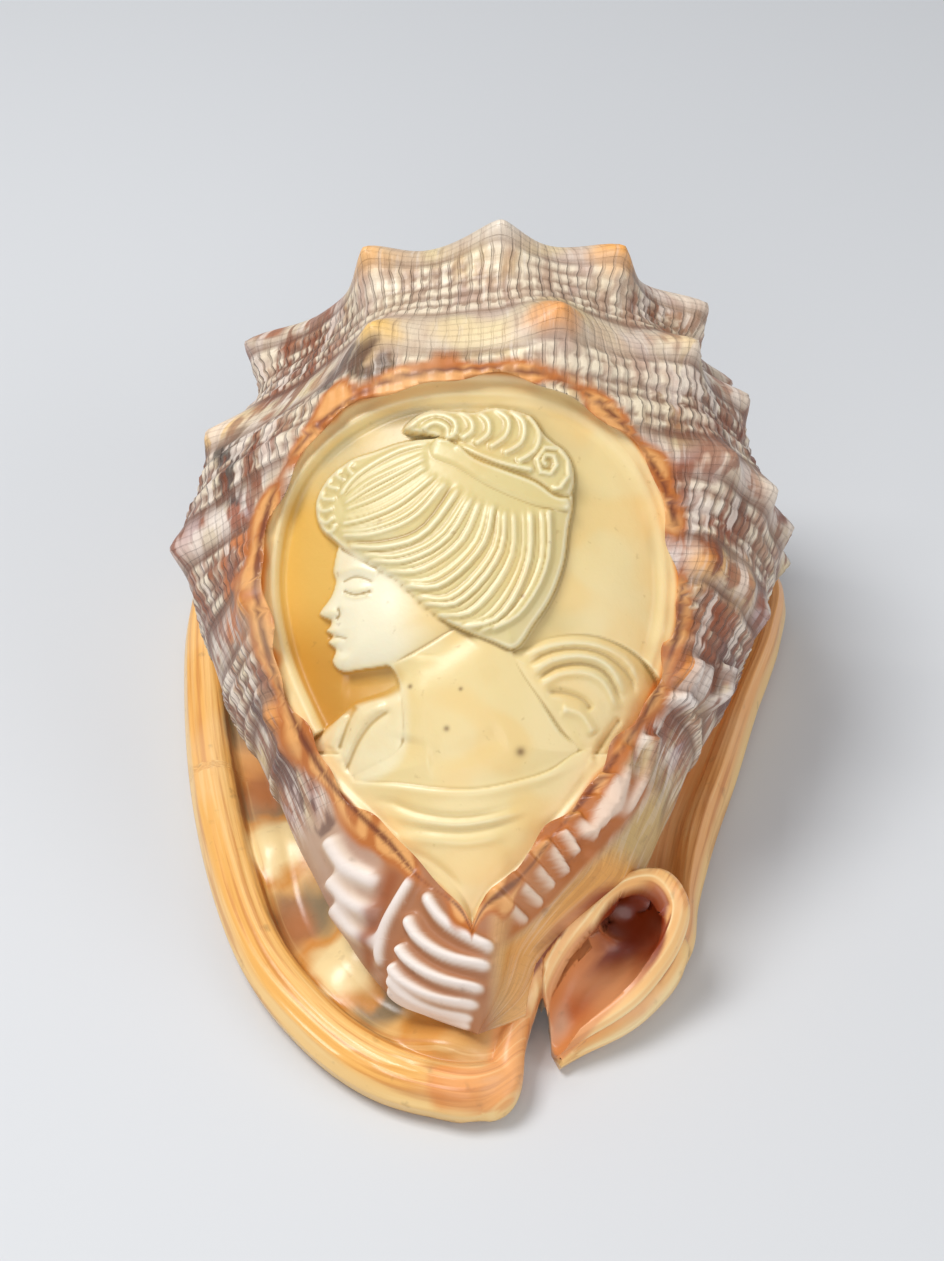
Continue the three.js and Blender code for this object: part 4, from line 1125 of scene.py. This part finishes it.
def carved_depth(u, v):
    """How far below the uncarved back the carver has gone."""
    turn = np.arctan2(u, v) / math.tau % 1
    edge = cameo_reach(turn) - np.hypot(u, v)
    border = 2.2 + 1.6 * bell((turn - 1.0) * 360, 40) + 1.6 * bell(turn * 360, 40)
    rim = BORDER_STEP + 0.9 * smooth(-18, -26, v) + 1.3 * smooth(0, 2.5, edge) + 0.9 * smooth(2, 6, edge)
    field = 4.9 - u / 30 + 0.2 * np.sin(u * 0.21 + 1) * np.sin(v * 0.17)
    low = smooth(-20, -26, v)
    depth = rim + (field - rim) * smooth(border, border + 3.4, edge) * (1 - low)
    depth = laid_on(depth, RIGHT_SLEEVE, u, v, 3.3, 1.2, 4)
    depth = laid_on(depth, LEFT_SLEEVE, u, v, 3.6, 1.0, 3)
    depth = laid_on(depth, NECK, u, v, 2.9, 0.8, 9)
    depth += 0.9 * ridge([(-24, -8), (-17, -8), (-11, -6.3), (-5, -2.5), (0, 1.5)], u, v, 3.0, 0.1)
    depth -= 0.5 * ridge([(-9, -3), (-9.5, -11), (-11.5, -19)], u, v, 2.5)
    depth += 0.35 * ridge([(-8, -22), (-2, -21), (6, -17.5)], u, v, 2.2)
    depth = laid_on(depth, DRESS, u, v, 3.1, 0.2, 2)
    depth = np.where(v < -21, np.minimum(depth, rim + 1.6 * smooth(3, 7, edge)), depth)
    depth -= 0.45 * ridges(SLEEVE_FOLDS, u, v, 1.0) + 0.3 * ridges(DRESS_FOLDS, u, v, 1.0, 0.2)
    depth += 0.5 * ridges(SLEEVE_GROOVES, u, v, 0.7) + 0.35 * ridges(DRESS_GROOVES, u, v, 0.8, 0.3)
    depth = laid_on(depth, FACE, u, v, 2.5, 1.6, 6)
    depth += sum(deep * ridge(line, u, v, width, taper) for deep, width, taper, line in FACE_STROKES)
    depth += sum(deep * spot(u, v, *size) for deep, *size in FACE_SPOTS)
    depth = laid_on(depth, HAIR, u, v, 1.5, 1.0, 5)
    depth -= 0.6 * strands(HAIR_TOP, u, v, 2, 0.6) + 0.8 * strands(HAIR_SIDE, u, v, 2, 0.75)
    depth += 0.35 * ridge([(-23.4, 17.2), (-16.8, 17), (-9, 19.6), (-3, 28)], u, v, 0.5)
    depth = laid_on(depth, BAND, u, v, 1.2, 0.5, 1.5)
    depth = laid_on(depth, BUN, u, v, 1.0, 1.0, 2.5)
    depth += 0.35 * smooth(-0.4, 0, inward(BUN, u, v)) - 0.7 * ridges(BUN_CURLS, u, v, 0.6, 0.08)
    depth -= 0.6 * ridge(RINGLET, u, v, 0.5, 0.05) + 0.5 * ridges(BROW_CURLS, u, v, 0.5)
    return depth, edge


def cameo_patch():
    bm = bmesh.new()
    steps = int(2 * GRID_HALF / GRID)
    bmesh.ops.create_grid(bm, x_segments=steps, y_segments=steps, size=GRID_HALF)
    flat = np.array([v.co[:2] for v in bm.verts])
    over = np.hypot(*flat.T) - cameo_reach(np.arctan2(flat[:, 0], flat[:, 1]) / math.tau)
    outside = [v for v, far in zip(list(bm.verts), over) if far > 1.3]
    bmesh.ops.delete(bm, geom=outside, context="VERTS")
    wall = bmesh.ops.extrude_edge_only(bm, edges=[e for e in bm.edges if e.is_boundary])["geom"]
    under = {g for g in wall if isinstance(g, bmesh.types.BMVert)}
    bmesh.ops.holes_fill(bm, edges=[e for e in bm.edges if e.is_boundary])
    bm.verts.index_update()
    u, v = np.array([v.co[:2] for v in bm.verts]).T
    back = back_height(u, v)
    depth, _ = carved_depth(u, v)
    heights = back - np.where([vert in under for vert in bm.verts], CUT_FLOOR + 0.6, depth)
    for vert, co in zip(bm.verts, on_cameo(u, v, heights)):
        vert.co = co
    bmesh.ops.recalc_face_normals(bm, faces=bm.faces)
    return bm


cameo = thing("cameo", cameo_patch())


# small brown specks in the neck: right, up, size
SPECKS = [(-4.5, -16.5, 0.5), (8.6, -20.6, 0.8), (9, 7, 0.35), (-11, -9, 0.4), (-2, -9.5, 0.35)]


def cameo_paint(p, groove):
    """The colour of each point: the relief's cream over the field's honey, with painted highlight on ridges
    and painted shade in grooves.
    """
    u, v, _ = cameo_place(p)
    depth, edge = carved_depth(u, v)
    cloud = patches(u / 11, v / 9, 7)
    field = coats(
        np.tile(tint("#cdb988"), (len(p), 1)),
        ("#d8b268", smooth(-4, -26, u) * smooth(34, 22, v)),
        ("#c4934a", smooth(-8, -24, u) * smooth(10, -6, v)),
        ("#c3b690", 0.8 * smooth(22, 40, v) * smooth(0.35, 0.6, cloud)),
        ("#ab9a6a", 0.6 * smooth(0, 24, u) * smooth(0.45, 0.7, patches(u / 8, v / 6, 3))),
        ("#dac794", 0.6 * smooth(8, 20, u) * smooth(0.5, 0.3, cloud)),
    )
    hair = np.maximum(inward(HAIR, u, v), inward(BUN, u, v))
    border = smooth(5.5, 2.5, edge) * (depth < 3.6)
    relief = coats(
        np.tile(tint("#e1ce9e"), (len(p), 1)),
        ("#e2c58c", 0.6 * smooth(0.45, 0.7, cloud)),
        ("#e8e0c6", smooth(-1, 1.5, inward(FACE, u, v)) * smooth(-6, -16, u)),
        ("#e8dfc0", 0.7 * smooth(-0.5, 1.5, inward(LEFT_SLEEVE, u, v))),
        ("#cfc190", 0.8 * smooth(-0.5, 1.5, hair)),
        # painted highlight on the carving's ridges, painted shade in its grooves
        ("#e4dab8", 0.9 * smooth(-0.02, -0.16, groove)),
        ("#a08248", 0.8 * smooth(0.02, 0.18, groove)),
        ("#e6d3a6", 0.7 * border),
        ("#dc9c5c", smooth(2.6, 1.2, edge + 2.6 * patches(u / 6, v / 6, 9))),
        ("#93502c", 0.9 * smooth(1.2, 0.4, edge + 1.6 * patches(u / 5, v / 5, 6))),
    )
    paint = relief + (field - relief) * smooth(3.9, 4.8, depth)[:, None]
    return coats(paint, *(("#6b4a26", 0.8 * bell(np.hypot(u - x, v - y), size)) for x, y, size in SPECKS))


def cameo_material():
    m = Maker("cameo")
    here = m.node("ShaderNodeTexCoord", {}, {}, "Object")
    cloud, grain = m.speckle(here, 70.0), m.speckle(here, 420.0)
    colour = m.mixed(m.window(cloud, 0.5, 0.75) * 0.3, m.kept("paint", "Color"), m.colour("#d9b676"))
    colour = m.mixed(m.window(grain, 0.66, 0.78) * 0.3, colour, m.colour("#94713c"))
    return m.finish(
        Base_Color=colour, Roughness=0.36 + 0.1 * grain, Normal=m.bump(grain * 0.4 + cloud * 0.3, 0.0004, 0.5),
        Coat_Weight=0.3, Coat_Roughness=0.25, IOR=1.5,
        Subsurface_Weight=0.08, Subsurface_Radius=(0.004, 0.002, 0.001), Subsurface_Scale=0.5,
    )


keep(cameo, "paint", cameo_paint(read_points(cameo), hollows(cameo, 5)))
cameo.data.materials.append(cameo_material())

for piece in (whorl, base, cameo):
    # from millimetres to metres
    piece.data.transform(Matrix.Scale(0.001, 4))
    piece.data.shade_smooth()
    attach(piece, "root")
    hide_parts("helmet_shell")

# The stage: a plain pale table, soft studio light and the camera at the photograph's angle.
floor_mesh = bpy.data.meshes.new("floor")
bm = bmesh.new()
bmesh.ops.create_grid(bm, size=1.5)
bm.to_mesh(floor_mesh)
bm.free()
floor = bpy.data.objects.new("floor", floor_mesh)
bpy.context.scene.collection.objects.link(floor)
floor_paint = bpy.data.materials.new("floor")
floor_paint.use_nodes = True
floor_surface = floor_paint.node_tree.nodes["Principled BSDF"]
floor_surface.inputs["Base Color"].default_value = (0.62, 0.63, 0.64, 1)
floor_surface.inputs["Roughness"].default_value = 0.7
floor_mesh.materials.append(floor_paint)


def lamp(name, place, size, watts, aim=(0, 0, 0.03)):
    light = bpy.data.lights.new(name, "AREA")
    light.size, light.energy = size, watts
    made = bpy.data.objects.new(name, light)
    made.location = place
    made.rotation_euler = (Vector(aim) - Vector(place)).to_track_quat("-Z", "Y").to_euler()
    bpy.context.scene.collection.objects.link(made)


lamp("key", (-0.35, 0.05, 0.8), 0.35, 5.6)
lamp("fill", (0.7, -0.4, 0.5), 0.5, 2.0)
lamp("front", (-0.1, -0.8, 0.5), 0.5, 1.9)
world = bpy.data.worlds.new("studio")
world.use_nodes = True
world.node_tree.nodes["Background"].inputs["Color"].default_value = (0.9, 0.93, 1, 1)
world.node_tree.nodes["Background"].inputs["Strength"].default_value = 0.38
bpy.context.scene.world = world
bpy.context.scene.view_settings.view_transform = "Standard"

# the photograph's angle: what the camera looks at, how far off and how high it stands, half of its view
TARGET = Vector((-0.0035, 0.010, 0.035))
DISTANCE = 0.431
ELEVATION = math.radians(45)
HALF_VIEW = math.radians(16)
camera = bpy.data.objects.new("camera", bpy.data.cameras.new("camera"))
camera.data.sensor_width = 36
camera.data.lens = camera.data.sensor_width / 2 / math.tan(HALF_VIEW)
back = Vector((0, -math.cos(ELEVATION), math.sin(ELEVATION)))
camera.location = TARGET + back * DISTANCE
camera.rotation_euler = back.to_track_quat("Z", "Y").to_euler()
camera.data.clip_start = 0.01
bpy.context.scene.collection.objects.link(camera)
bpy.context.scene.camera = camera
